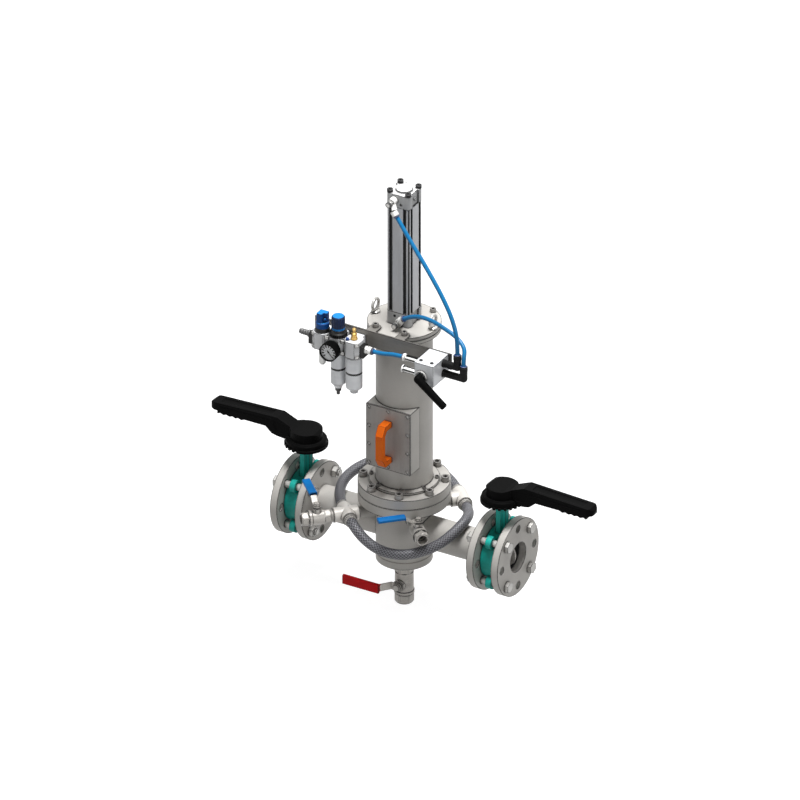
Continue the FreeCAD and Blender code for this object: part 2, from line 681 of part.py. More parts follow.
def valve_body(x):
    """Wafer body of a butterfly valve with four ears, a ribbed neck and a mounting pad."""
    half = WAFER_T / 2 - 1
    ring = cyl(WAFER_OD / 2, 2 * half, Vec(x - half, 0, 0), X)
    shapes = [ring]
    for point in bolt_points(x - EAR_T / 2, FLANGE_PCD, FLANGE_BOLTS, 45):
        shapes.append(cyl(EAR_OD / 2, EAR_T, point, X))
        inner = Vec(point.x, 0, 0)
        web = cyl(EAR_OD / 2 - 3, FLANGE_PCD / 2, inner, (point - inner).normalize())
        shapes.append(web.common(block(x - EAR_T / 2, x + EAR_T / 2, -100, 100, -100, 100)))
    shapes.append(block(x - NECK_L / 2, x + NECK_L / 2, -NECK_RIB / 2, NECK_RIB / 2, 0, NOTCH_Z - PAD_T))
    shapes.append(block(x - NECK_RIB / 2, x + NECK_RIB / 2, -NECK_W / 2, NECK_W / 2, 0, NOTCH_Z - PAD_T))
    shapes.append(cyl(STEM_D / 2 + 5, NOTCH_Z - PAD_T, Vec(x, 0, 0)))
    pad = block(x - NECK_L, x + NECK_L, -PAD_W / 2, PAD_W / 2, NOTCH_Z - PAD_T, NOTCH_Z)
    shapes.append(soften(pad, 8, upright))
    shapes.append(cyl(STEM_D / 2 + 6, 10, Vec(x, 0, -WAFER_OD / 2 - 6)))
    body = join(shapes)
    cuts = [cyl(LINER_OD / 2, WAFER_T, Vec(x - WAFER_T / 2, 0, 0), X),
            cyl(STEM_D / 2 + SLIP, NOTCH_Z + 60, Vec(x, 0, -60))]
    for point in bolt_points(x - EAR_T / 2, FLANGE_PCD, FLANGE_BOLTS, 45):
        cuts.append(cyl(FLANGE_HOLE_D / 2, WAFER_T, point - X * EAR_T, X))
    return less(body, cuts)


def valve_liner(x):
    ring = cyl(LINER_OD / 2, WAFER_T, Vec(x - WAFER_T / 2, 0, 0), X)
    cuts = [cyl(PIPE_BORE_R, WAFER_T, Vec(x - WAFER_T / 2, 0, 0), X),
            cyl(STEM_D / 2 + SLIP, LINER_OD, Vec(x, 0, -LINER_OD / 2))]
    return less(ring, cuts)


def valve_disc(x):
    """Lens-shaped disc, edge on to the flow, with the stem through it."""
    r = DISC_D / 2
    lens = turn([(0, -DISC_T / 2 - 2), (r * 0.6, -DISC_T / 2), (r, -2.5), (r, 2.5), (r * 0.6, DISC_T / 2),
                 (0, DISC_T / 2 + 2)], Vec(x, 0, 0), Y)
    stem = cyl(STEM_D / 2, STEM_TOP - STEM_COVER + 58, Vec(x, 0, -58))
    return join([lens, stem])


def notch_plate(x, way):
    """Plate with a notch at each lever position from open to closed."""
    plate = cyl(NOTCH_OD / 2, NOTCH_T, Vec(x, 0, NOTCH_Z))
    plate = plate.cut(cyl(STEM_D / 2 + 1, NOTCH_T, Vec(x, 0, NOTCH_Z)))
    for i in range(NOTCHES):
        angle = -NOTCH_STEP * i
        notch = block(TOOTH_IN, NOTCH_OD, -TOOTH_W / 2 - RUN, TOOTH_W / 2 + RUN, NOTCH_Z, NOTCH_Z + NOTCH_T)
        notch = about_z(notch, angle)
        if way < 0:
            notch = notch.mirror(Vec(0, 0, 0), X)
        notch.translate(Vec(x, 0, 0))
        plate = plate.cut(notch)
    return plate


def valve_lever(x, way):
    """Moulded lever: a stepped hub, a raised neck and a hollow grip that the latch folds into."""
    foot = Vec(0, 0, HUB_Z)
    rim_r = HUB_D / 2
    hub_r = HUB_TOP_D / 2
    hub_h = STEM_TOP - HUB_Z
    rim = turn([(0, 0), (rim_r, 0), (rim_r, HUB_RIM_T - 2), (rim_r - 2, HUB_RIM_T), (0, HUB_RIM_T)], foot)
    side = [(-hub_r, 0), (-hub_r, hub_h - 8), (-hub_r + 8, hub_h - 2), (18, hub_h - 2), (30, hub_h),
            (66, 50), (LEVER_L - 9, 43), (LEVER_L, 36), (LEVER_L - 3, 25), (150, 20), (96, 20), (80, 6), (68, 3),
            (hub_r, 0)]
    profile = slab(side, HUB_D, foot)
    half_w = LEVER_W / 2
    plan = join([cyl(hub_r, 2 * LEVER_W, foot), block(0, LEVER_L - half_w, -half_w, half_w, HUB_Z, HUB_Z + 2 * LEVER_W),
                 cyl(half_w, 2 * LEVER_W, Vec(LEVER_L - half_w, 0, HUB_Z))])
    body = join([profile.common(plan), rim])
    inner = LATCH_PAD_W / 2 + 1
    channel = slab([(72, 0), (72, 44), (LATCH_END + 6, 38), (LATCH_END + 6, 0)], 2 * inner, foot)
    slot_w = LATCH_W + 2 * RUN
    slot_in = STEM_D / 2 + 4
    slot = slab([(slot_in, -1), (slot_in, 21), (74, 33), (74, -1)], slot_w, foot)
    body = less(body, [channel, slot, cyl(STEM_D / 2 + SLIP, hub_h - STEM_COVER + 1.5, foot - Z)] + lever_pockets())
    pin = cyl(LATCH_PIN_D / 2, slot_w + 4, Vec(LATCH_PIVOT, -slot_w / 2 - 2, LATCH_PIVOT_Z), Y)
    return placed_lever(join([body, pin]), x, way)


def lever_pockets():
    """Shallow moulded recesses along the top and both sides of the grip and the neck."""
    top = [(84, 57), (84, 47.2), (LEVER_L - 26, 42), (LEVER_L - 26, 57)]
    long = [(82, 44), (82, 36), (LEVER_L - 30, 34), (LEVER_L - 30, 39.5)]
    neck = [(44, 37), (44, 13), (66, 13), (74, 25), (74, 41)]
    pockets = [slab(top, LEVER_W - 16, Vec(0, 0, HUB_Z))]
    for side in (-1, 1):
        aside = Vec(0, side * (LEVER_W / 2 + 0.5), HUB_Z)
        pockets += [slab(long, 3, aside), slab(neck, 3, aside)]
    return pockets


def placed_lever(shape, x, way):
    if way < 0:
        shape = about_z(shape, 180)
    shape.translate(Vec(x, 0, 0))
    return shape


def valve_latch(x, way):
    """Squeeze latch: turns on the pin in the hub, its tooth drops in a notch, its pad lies under the grip."""
    foot = Vec(0, 0, HUB_Z)
    tip = NOTCH_Z + NOTCH_T - TOOTH_ENGAGE
    tooth = block(TOOTH_IN + 0.5, NOTCH_OD / 2 - 0.5, -TOOTH_W / 2, TOOTH_W / 2, tip, HUB_Z + 6)
    bar = slab([(14, 6), (40, 2), (70, 4), (84, 15), (104, 21), (LATCH_END, 19), (LATCH_END, 23), (100, 25),
                (76, 20), (40, 14), (22, 15), (14, 12)], LATCH_W, foot)
    outline = [(138, 21.5), (158, 14.5)]
    ribs = 4
    reach = (LATCH_END - 162) / ribs
    for i in range(ribs):
        outline += [(162 + reach * i, 12.5), (162 + reach * (i + 0.5), 15.5)]
    outline += [(LATCH_END, 12.5), (LATCH_END, 21)]
    body = join([bar, tooth, slab(outline, LATCH_PAD_W, foot)])
    body = body.cut(cyl(LATCH_PIN_D / 2 + SEAT, LATCH_PAD_W, Vec(LATCH_PIVOT, -LATCH_PAD_W / 2, LATCH_PIVOT_Z), Y))
    return placed_lever(body, x, way)


def flange_bolts():
    """Four bolts at each end, with the head on the pipeline side and the nut on the vessel side."""
    bolts = []
    for way in (-1, 1):
        for point in bolt_points(way * HALF, FLANGE_PCD, FLANGE_BOLTS, 45):
            out = X * way
            head = hexagon(BOLT_AF, BOLT_HEAD_T, point, out)
            shank = cyl(BOLT_D / 2, HALF - FLANGE_BACK + NUT_T + STUD_END, point, -out)
            nut = hexagon(BOLT_AF, NUT_T, Vec(way * FLANGE_BACK, point.y, point.z), -out)
            bolts.append(join([head, shank, nut]))
    return bolts


def counter_flange(way):
    x0 = FACE_IN if way > 0 else -HALF
    return flange_disc(x0).cut(cyl(PIPE_BORE_R, FLANGE_T, Vec(x0, 0, 0), X))


def ball_valve_sizes(large):
    if large:
        return dict(length=100.0, neck=0.0, af=40.0, end=22.0, body=21.5, ball=17.0, bore=12.5, stem=6.0, bonnet=13.0,
                    top=33.0, lever=124.0, rise=28.0, width=18.0, grip=92.0, grip_w=24.0, grip_t=9.0)
    return dict(length=74.0, neck=6.0, af=30.0, end=15.0, body=16.5, ball=13.0, bore=9.0, stem=5.0, bonnet=9.5,
                top=31.0, lever=95.0, rise=14.0, width=14.0, grip=64.0, grip_w=19.0, grip_t=8.0)


def valve_frame(origin, flow, up):
    """Turns shapes drawn with the flow along +X and the stem along +Z to their place."""
    side = up.cross(flow)
    matrix = FreeCAD.Matrix(flow.x, side.x, up.x, origin.x, flow.y, side.y, up.y, origin.y,
                            flow.z, side.z, up.z, origin.z, 0, 0, 0, 1)
    return FreeCAD.Placement(matrix)


def set_in(shape, place):
    return shape.transformGeometry(place.toMatrix()) if shape.ShapeType == "Compound" else moved(shape, place)


def moved(shape, place):
    shape = shape.copy()
    shape.Placement = place.multiply(shape.Placement)
    return shape


def ball_valve_body(size, place):
    """Two-piece body on a pipe nipple: beveled hexagon ends, a round middle with its joint rim, the stem's bonnet."""
    half = size["length"] / 2
    end = size["end"]
    inner = size["neck"] - half
    low = size["af"] * 0.48
    high = size["af"] * 0.55
    bevel = turn([(0, inner), (low, inner), (high, inner + 3), (high, half - 3), (low, half), (0, half)],
                 Vec(0, 0, 0), X)
    ends = join([hexagon(size["af"], end, Vec(inner, 0, 0), X), hexagon(size["af"], end, Vec(half - end, 0, 0), X)])
    shapes = [ends.common(bevel), cyl(BRANCH_OD / 2, size["neck"] + 3, Vec(-half, 0, 0), X),
              cyl(size["body"], half - 2 * end - inner, Vec(inner + end, 0, 0), X),
              cyl(size["body"] + 1.5, 7, Vec(half - end - 9, 0, 0), X),
              cyl(size["bonnet"], size["top"] - 6, Vec(0, 0, 0), Z),
              hexagon(size["bonnet"] * 1.9, 6, Vec(0, 0, size["top"] - 12), Z)]
    cavity = size["ball"] + RUN
    thread = size["bore"] + 1.5
    cuts = [cyl(size["bore"], 2 * half, Vec(-half, 0, 0), X), Part.makeSphere(cavity),
            cyl(thread, end, Vec(-half, 0, 0), X), cyl(thread, end, Vec(half - end, 0, 0), X),
            cyl(size["stem"] + SLIP, size["top"], Vec(0, 0, 0), Z)]
    return moved(less(join(shapes), cuts), place)


def ball_and_stem(size, place):
    """Bored ball, shut across the flow, with the stem and its nut."""
    top = size["top"]
    ball = Part.makeSphere(size["ball"]).cut(cyl(size["bore"], 60, Vec(0, -30, 0), Y))
    stem = cyl(size["stem"], top + 4 - size["ball"] + 2, Vec(0, 0, size["ball"] - 2), Z)
    nut = hexagon(size["stem"] * 2.6, 6, Vec(0, 0, top), Z)
    return moved(join([ball, stem, nut]), place)


def ball_valve_lever(size, place, turn_deg):
    """Bent strip lever from the stem, and its dipped grip. It starts across the flow."""
    z = size["top"] - 3
    t = 3.0
    length = size["lever"]
    width = size["width"]
    bend = 16.0
    run = 22.0
    rise = size["rise"]
    strip = slab([(0, z), (bend, z), (bend + run, z + rise), (length - 4, z + rise), (length - 4, z + rise + t),
                  (bend + run - 1, z + rise + t), (bend - 1, z + t), (0, z + t)], width)
    plate = join([strip, cyl(width / 2 + 1, t, Vec(0, 0, z))])
    plate = plate.cut(cyl(size["stem"] + SEAT, 20, Vec(0, 0, z - 2)))
    grip_z = z + rise + t / 2
    x0 = length - size["grip"]
    grip = block(x0, length, -size["grip_w"] / 2, size["grip_w"] / 2, grip_z - size["grip_t"] / 2,
                 grip_z + size["grip_t"] / 2)
    along = [e for e in grip.Edges if abs(e.Length - size["grip"]) < 1e-6]
    grip = grip.makeFillet(size["grip_t"] / 2 - 1, along)
    pocket = block(x0, length - 4, -width / 2, width / 2, z + rise, z + rise + t)
    turned = FreeCAD.Placement(Vec(0, 0, 0), FreeCAD.Rotation(Z, turn_deg))
    return [moved(moved(s, turned), place) for s in (plate, grip.cut(pocket))]


def tee_socket(centre, way):
    """The end of a tee: a thicker rim with a shallow seat for the hose."""
    return cyl(HOSE_OD / 2 + SEAT, TEE_SOCKET, centre + way * (TEE_HALF - TEE_SOCKET), way)


def hose_fitting(angle, outer_end):
    """Tee or cross on a branch, with a hose seat at each end of the run across the branch."""
    out = radial(angle)
    across = radial(angle + 90)
    centre = at(angle, TEE_R, BRANCH_Z)
    r = TEE_OD / 2
    shapes = [cyl(r, TEE_HALF, centre, across), cyl(r, TEE_HALF, centre, -across),
              cyl(r, TEE_R - BRANCH_END, at(angle, BRANCH_END, BRANCH_Z), out)]
    if outer_end:
        shapes.append(cyl(r, outer_end - TEE_R, centre, out))
    else:
        shapes.append(Part.makeSphere(r, centre))
    body = join(shapes)
    bore = BRANCH_OD / 2 - BRANCH_WALL
    cuts = [tee_socket(centre, across), tee_socket(centre, -across),
            cyl(bore, 2 * TEE_HALF, centre - across * TEE_HALF, across),
            cyl(bore, TEE_R - BRANCH_END, at(angle, BRANCH_END, BRANCH_Z), out)]
    if outer_end:
        cuts.append(cyl(bore, outer_end - TEE_R, centre, out))
    return less(body, cuts)


def hose_start(angle, way):
    """Where a hose meets the seat in a tee's end, and the point straight out of it."""
    across = radial(angle + 90) * way
    centre = at(angle, TEE_R, BRANCH_Z)
    return centre + across * (TEE_HALF - TEE_SOCKET), across


def front_hose():
    start, out = hose_start(RETURN_ANGLE, -1)
    end, back = hose_start(FEED_ANGLE, 1)
    first = start + out * 32
    last = end + back * 32
    points = [tuple(start), tuple(first), (152, 26, 55), (160, -6, 56), (154, -38, 44), (136, -68, 24),
              (104, -94, 6), (64, -118, -4), (20, -136, 2), (-20, -142, 23), tuple(last), tuple(end)]
    return route(points, HOSE_OD / 2)


def rear_hose():
    start, out = hose_start(RETURN_ANGLE, 1)
    end, back = hose_start(FEED_ANGLE, -1)
    points = [tuple(start), tuple(start + out * 30), (20, 152, 57), (-32, 153, 70), (-80, 138, 80),
              (-122, 106, 83), (-150, 64, 78), (-164, 22, 67), (-158, -18, 56), tuple(end + back * 30),
              tuple(end)]
    return route(points, HOSE_OD / 2)


UPPER_PORT = port_place(BARREL_TOP, False)
LOWER_PORT = port_place(LID_TOP, True)
UPPER_TUBE_END = UPPER_PORT + Vec(19, -26, -23)
UPPER_TUBE_WAY = Vec(0.62, -0.1, -0.78).normalize()
LOWER_TUBE_END = LOWER_PORT + Vec(21, -24, 23)
LOWER_TUBE_WAY = Vec(0.8, -0.1, 0.6).normalize()
FITTING_Y = BRACKET_FRONT - 24
UPPER_ELBOW = Vec(BLOCK_RIGHT + 36, FITTING_Y, BLOCK_TOP + 18)
LOWER_ELBOW = Vec(BLOCK_RIGHT + 52, FITTING_Y, BLOCK_TOP - 7)
ELBOW_DROP = 30
SUPPLY_START = Vec(LUBRICATOR_X + UNIT_W / 2 + END_PLATE_T + 17, UNIT_Y, UNIT_Z + 23)
SUPPLY_END = Vec(BLOCK_LEFT - 50, UNIT_Y, BLOCK_TOP - 22)


def bowed(start, end, shares):
    """Points part of the way from start to end, each moved aside by a small step."""
    return [tuple(start + (end - start) * share + Vec(*aside)) for share, aside in shares]


def upper_air_tube():
    shares = [(0.26, (1.9, 4.8, 11.8)), (0.44, (0.8, 5.1, 30.4)), (0.6, (2.6, 4.2, 42.6)), (0.74, (5.1, 3.2, 48.2)),
              (0.86, (6.5, 2.0, 47.4)), (0.95, (4.5, 1.2, 38.2))]
    points = [tuple(UPPER_TUBE_END - UPPER_TUBE_WAY * 8), tuple(UPPER_TUBE_END + UPPER_TUBE_WAY * 24)]
    points += bowed(UPPER_TUBE_END, UPPER_ELBOW, shares)
    return route(points + [tuple(UPPER_ELBOW + Z * 22), tuple(UPPER_ELBOW - Z * 8)], AIR_TUBE_OD / 2)


def lower_air_tube():
    shares = [(0.26, (-0.7, 8.3, 34.6)), (0.45, (0.2, 11.5, 44.9)), (0.65, (-0.8, 14.4, 47.5)),
              (0.82, (1.2, 17.4, 45.8)), (0.94, (5.9, 12.5, 36.6))]
    points = [tuple(LOWER_TUBE_END - LOWER_TUBE_WAY * 8), tuple(LOWER_TUBE_END + LOWER_TUBE_WAY * 18)]
    points += bowed(LOWER_TUBE_END, LOWER_ELBOW, shares)
    return route(points + [tuple(LOWER_ELBOW + Z * 18), tuple(LOWER_ELBOW - Z * 8)], AIR_TUBE_OD / 2)


def supply_air_tube():
    points = [tuple(SUPPLY_START - X * 8), tuple(SUPPLY_START + X * 24), tuple(SUPPLY_END - X * 24),
              tuple(SUPPLY_END + X * 8)]
    return route(points, AIR_TUBE_OD / 2)


def air_bracket():
    """Plate in front of the lid, with two tabs bent back under the front lid screws."""
    plate = block(BRACKET_LEFT, BRACKET_RIGHT, BRACKET_FRONT, BRACKET_BACK, BRACKET_TOP - BRACKET_H, BRACKET_TOP)
    shapes = [plate]
    holes = []
    for angle in LID_SCREW_ANGLES[:2]:
        screw = at(angle, LID_PCD / 2, LID_TOP)
        tab = block(screw.x - TAB_W / 2, screw.x + TAB_W / 2, BRACKET_BACK, screw.y, LID_TOP, BRACKET_TOP)
        shapes.append(tab)
        shapes.append(cyl(TAB_W / 2, BRACKET_T, screw))
        holes.append(cyl(LID_SCREW_D / 2 + 0.5, BRACKET_T, screw))
    return less(join(shapes), holes)


def unit_block(x):
    """Square block with cut corners, and the pad that carries it off the bracket."""
    half = UNIT_W / 2
    front = UNIT_Y - UNIT_D / 2
    back = UNIT_Y + UNIT_D / 2
    body = block(x - half, x + half, front, back, UNIT_Z, UNIT_TOP)
    body = body.makeChamfer(UNIT_CHAMFER, [edge for edge in body.Edges if upright(edge)])
    pad = block(x - MOUNT_PAD_W / 2, x + MOUNT_PAD_W / 2, back - 1, BRACKET_FRONT, BRACKET_TOP - BRACKET_H, UNIT_TOP)
    return join([body, pad])


def shutoff_valve():
    body = unit_block(SHUTOFF_X)
    centre = Vec(SHUTOFF_X, UNIT_Y, UNIT_TOP)
    base = turn([(0, 0), (18, 0), (16, SHUTOFF_BASE_H), (0, SHUTOFF_BASE_H)], centre)
    plate_x = SHUTOFF_X - UNIT_W / 2
    plate = block(plate_x - END_PLATE_T, plate_x, UNIT_Y - END_PLATE_W / 2, UNIT_Y + END_PLATE_W / 2,
                  UNIT_Z + 4, UNIT_TOP - 11)
    inlet = Vec(plate_x - END_PLATE_T, UNIT_Y, SUPPLY_START.z)
    outline = [(0, 0), (8.5, 0), (8.5, 5), (6, 6)]
    barbs = 3
    pitch = (BARB_L - 10) / barbs
    for i in range(barbs):
        outline += [(7, 6 + pitch * (i + 0.8)), (6, 6 + pitch * (i + 1))]
    barb = turn(outline + [(5.5, BARB_L), (0, BARB_L)], inlet, -X)
    length = UNIT_Z - SILENCER_Z
    silencer = turn([(0, 0), (6, 0), (8, 4), (8, length - 5), (5, length), (0, length)],
                    Vec(SHUTOFF_X, UNIT_Y, UNIT_Z), -Z)
    body = join([body, base, plate, barb, silencer])
    return less(body, [cyl(4, 2 * BARB_L + 2, inlet + X * (BARB_L + 2), -X), cyl(4 + SLIP, 12, centre - Z * 3)])


def shutoff_knob():
    """Turning knob: a low drum with an angled grip on top, and the lock button in the grip's open corner."""
    centre = Vec(SHUTOFF_X, UNIT_Y, UNIT_TOP + SHUTOFF_BASE_H + SEAT)
    drum = turn([(0, 0), (15.5, 0), (15.5, 12), (13.5, 14), (0, 14)], centre)
    grip = join([block(-10, 4, -11, 11, 12, SHUTOFF_KNOB_H), block(3, 12, -1, 11, 12, SHUTOFF_KNOB_H)])
    grip = soften(grip, 2, upright)
    grip.translate(centre)
    spindle = cyl(4, 11, centre - Z * 11)
    button = cyl(3.5, 6, centre + Vec(7.5, 0, 21), -Y)
    return join([drum, grip, spindle, button])


def filter_regulator():
    body = unit_block(REGULATOR_X)
    centre = Vec(REGULATOR_X, UNIT_Y, UNIT_TOP)
    bonnet = turn([(0, 0), (BONNET_D / 2 - 1, 0), (BONNET_D / 2, 2), (BONNET_D / 2, 8), (KNOB_D / 2 + 1, 11),
                   (KNOB_D / 2 + 1, BONNET_H), (0, BONNET_H)], centre)
    clamp = [block(x - UNIT_GAP, x, UNIT_Y - 10, UNIT_Y + 10, UNIT_Z + 6, UNIT_TOP - 6)
             for x in (REGULATOR_X - UNIT_W / 2, REGULATOR_X + UNIT_W / 2 + UNIT_GAP)]
    port = Vec(REGULATOR_X, UNIT_Y - UNIT_D / 2, GAUGE_Z)
    cuts = [cyl(5 + SLIP, BONNET_H + 4, centre - Z * 4), cyl(5 + SLIP, 8, port, Y),
            cyl(BOWL_NECK_D / 2 + SEAT, 12, Vec(REGULATOR_X, UNIT_Y, UNIT_Z))]
    return less(join([body, bonnet] + clamp), cuts)


def regulator_knob():
    centre = Vec(REGULATOR_X, UNIT_Y, UNIT_TOP + BONNET_H + SEAT)
    r = KNOB_D / 2
    body = turn([(0, 0), (r, 0), (r, KNOB_H - 3), (r - 2.5, KNOB_H), (0, KNOB_H)], centre)
    spindle = cyl(5, BONNET_H, centre - Z * BONNET_H)
    cuts = [cyl(1.6, KNOB_H, centre + radial(a) * (r + 0.6) + Z * 6) for a in spaced(16)]
    return less(join([body, spindle]), cuts)


def bowl(x, diameter, drain):
    """Metal bowl of the filter or the lubricator, screwed up in its block."""
    r = diameter / 2
    top = UNIT_Z
    seam = BOWL_SEAM_Z
    low = BOWL_LOW_Z
    outline = [(BOWL_NECK_D / 2, 10), (BOWL_NECK_D / 2, 0), (r, 0), (r, seam - top + 2), (r - 1.5, seam - top + 1),
               (r - 1.5, seam - top - 1), (r, seam - top - 2), (r, low - top + 5), (r - 5, low - top)]
    if drain:
        outline += [(7, low - top - 12), (7, low - top - 16), (4, low - top - 18), (4, low - top - 26)]
    else:
        outline += [(9, low - top - 5), (9, low - top - 9)]
    last = outline[-1][1]
    outline += [(0, last), (0, last + 6), (r - 7, low - top + 4), (r - 4, low - top + 8), (r - 4, 4),
                (BOWL_NECK_D / 2 - 3, 10)]
    return turn(outline, Vec(x, UNIT_Y, top))


def lubricator():
    body = unit_block(LUBRICATOR_X)
    centre = Vec(LUBRICATOR_X, UNIT_Y, UNIT_TOP)
    plug = turn([(0, 0), (4, 0), (4, 4), (3, 6), (0, 6)], centre + Vec(-11, -11, 0))
    plate_x = LUBRICATOR_X + UNIT_W / 2
    plate = block(plate_x, plate_x + END_PLATE_T, UNIT_Y - END_PLATE_W / 2, UNIT_Y + END_PLATE_W / 2,
                  UNIT_Z + 4, UNIT_TOP - 9)
    outlet_x = plate_x + END_PLATE_T
    fitting = cyl(9, SUPPLY_START.x - outlet_x, Vec(outlet_x, UNIT_Y, SUPPLY_START.z), X)
    cuts = [cyl(3 + SLIP, 12, centre - Z * 5), cyl(BOWL_NECK_D / 2 + SEAT, 12, Vec(LUBRICATOR_X, UNIT_Y, UNIT_Z)),
            cyl(AIR_TUBE_OD / 2 + SEAT, 8, SUPPLY_START - X * 8, X)]
    return less(join([body, plug, plate, fitting]), cuts)


def drip_screw():
    """Brass screw that sets the oil: a wide foot, a waist and a round head."""
    centre = Vec(LUBRICATOR_X, UNIT_Y, UNIT_TOP + SEAT)
    return turn([(0, -4), (3, -4), (3, 0), (8, 0), (8, 5), (6.5, 7), (6.5, 16), (4, 18), (4, 22), (5, 23), (5, 26),
                 (3, 28), (0, 28)], centre)


def pressure_gauge():
    """Round case with a rim, its pipe into the regulator, and the dial in the recess."""
    back = UNIT_Y - UNIT_D / 2
    centre = Vec(REGULATOR_X, back, GAUGE_Z)
    r = GAUGE_D / 2
    case = turn([(0, GAUGE_STEM), (r - 3, GAUGE_STEM), (r, GAUGE_STEM + 3), (r, GAUGE_STEM + GAUGE_T),
                 (r - 2, GAUGE_STEM + GAUGE_T), (r - 2, GAUGE_STEM + GAUGE_T - 4), (0, GAUGE_STEM + GAUGE_T - 4)],
                centre, -Y)
    pipe = cyl(5, GAUGE_STEM + 8, centre + Y * 7, -Y)
    nut = hexagon(14, GAUGE_STEM, centre, -Y)
    pivot = Vec(REGULATOR_X, back - GAUGE_STEM - GAUGE_T + 4, GAUGE_Z)
    return join([case, pipe, nut]).cut(cyl(1 + SLIP, 3, pivot, Y))


def gauge_needle():
    y = UNIT_Y - UNIT_D / 2 - GAUGE_STEM - GAUGE_T + 4
    needle = slab([(-5, -1.4), (4, -1), (15, -0.35), (15, 0.35), (4, 1), (-5, 1.4)], 0.8)
    hub = cyl(2.2, 1.2, Vec(0, 0.4, 0), -Y)
    pin = cyl(1, 3, Vec(0, 0, 0), Y)
    hand = join([needle, hub, pin])
    hand.rotate(Vec(0, 0, 0), Y, 50)
    hand.translate(Vec(REGULATOR_X, y - SEAT - 0.4, GAUGE_Z))
    return hand


def hand_valve():
    """Slide valve block with the lever's boss on its front."""
    body = block(BLOCK_LEFT, BLOCK_RIGHT, BLOCK_FRONT, BRACKET_FRONT, BLOCK_LOW, BLOCK_TOP)
    body = soften(body, 2, upright)
    hub = hand_hub()
    boss = cyl(HAND_BOSS_D / 2, 5, Vec(hub.x, BLOCK_FRONT, hub.z), -Y)
    ports = [cyl(6.5, 10, Vec(BLOCK_LEFT, SUPPLY_END.y, SUPPLY_END.z), X),
             cyl(6.5, 10, Vec(BLOCK_LEFT, SUPPLY_END.y - 12, SUPPLY_END.z - 22), X),
             cyl(6.5, 10, Vec(BLOCK_RIGHT - 10, FITTING_Y, UPPER_ELBOW.z - ELBOW_DROP), X),
             cyl(6.5, 10, Vec(BLOCK_RIGHT - 10, FITTING_Y, LOWER_ELBOW.z - ELBOW_DROP), X),
             cyl(6 + SLIP, 25, Vec(hub.x, BLOCK_FRONT - 5, hub.z), Y)]
    fixing = [cyl(2.6, 8, Vec(x, BLOCK_FRONT + 14, BLOCK_TOP - 8)) for x in (BLOCK_LEFT + 38, BLOCK_LEFT + 10)]
    return less(join([body, boss]), ports + fixing)


def hand_hub():
    return Vec(BLOCK_LEFT + 19, BLOCK_FRONT, BLOCK_LOW + BLOCK_H / 2 - 6)


def hand_lever():
    hub = hand_hub() - Y * (5 + SEAT)
    way = Vec(math.cos(math.radians(HAND_LEVER_ANGLE)), 0, math.sin(math.radians(HAND_LEVER_ANGLE)))
    spindle = cyl(6, 22, hub, Y)
    cap = cyl(HAND_LEVER_D / 2 - 0.5, 10, hub, -Y)
    arm_base = hub - Y * HAND_LEVER_D / 2
    thick, thin = HAND_LEVER_D / 2 - 0.5, HAND_LEVER_D / 2 - 1.5
    arm = turn([(0, 0), (thick, 0), (thin, HAND_LEVER_L - 3), (thin - 2.5, HAND_LEVER_L), (0, HAND_LEVER_L)],
               arm_base, way)
    knee = Part.makeSphere(thick, arm_base)
    return join([spindle, cap, arm, knee])


def elbow_fitting(end):
    """Push-in elbow from the block's right face, turning up to the tube."""
    z = end.z - ELBOW_DROP
    stub = cyl(6.5 - SEAT, 9, Vec(BLOCK_RIGHT - 9, FITTING_Y, z), X)
    collar = cyl(9.5, 4, Vec(BLOCK_RIGHT, FITTING_Y, z), X)
    leg = cyl(8.5, end.x - BLOCK_RIGHT - 4, Vec(BLOCK_RIGHT + 4, FITTING_Y, z), X)
    knee = Part.makeSphere(8.8, Vec(end.x, FITTING_Y, z))
    rise = cyl(8.8, ELBOW_DROP - 10, Vec(end.x, FITTING_Y, z))
    ring = cyl(9.4, 10, Vec(end.x, FITTING_Y, end.z - 10))
    return join([stub, collar, leg, knee, rise, ring]).cut(cyl(AIR_TUBE_OD / 2 + SEAT, 8, end - Z * 8))


def straight_fitting(y, z, length, bore):
    stub = cyl(6.5 - SEAT, 9, Vec(BLOCK_LEFT, y, z), X)
    nut = hexagon(15, 16, Vec(BLOCK_LEFT - 16, y, z), X)
    sleeve = cyl(7.5, length - 20, Vec(BLOCK_LEFT - length + 4, y, z), X)
    rim = cyl(9, 5, Vec(BLOCK_LEFT - length, y, z), X)
    return join([stub, nut, sleeve, rim]).cut(cyl(bore, 8, Vec(BLOCK_LEFT - length, y, z), X))


def push_in_fittings():
    length = BLOCK_LEFT - SUPPLY_END.x
    return [elbow_fitting(UPPER_ELBOW), elbow_fitting(LOWER_ELBOW),
            straight_fitting(SUPPLY_END.y, SUPPLY_END.z, length, AIR_TUBE_OD / 2 + SEAT),
            straight_fitting(SUPPLY_END.y - 12, SUPPLY_END.z - 22, length - 4, 4)]


os.makedirs("parts", exist_ok=True)


def save(name, shapes):
    """Moves the solids to the part's own frame and writes one STEP file."""
    if not isinstance(shapes, list):
        shapes = [shapes]
    solids = []
    for shape in shapes:
        for solid in shape.Solids:
            solid = solid.copy()
            solid.translate(Vec(HALF, 0, 0))
            if not solid.isValid() or solid.Volume <= 0:
                print("check", name, "valid", solid.isValid(), "volume", round(solid.Volume))
            solids.append(solid)
    whole = solids[0] if len(solids) == 1 else Part.makeCompound(solids)
    whole.exportStep("parts/" + name + ".step")


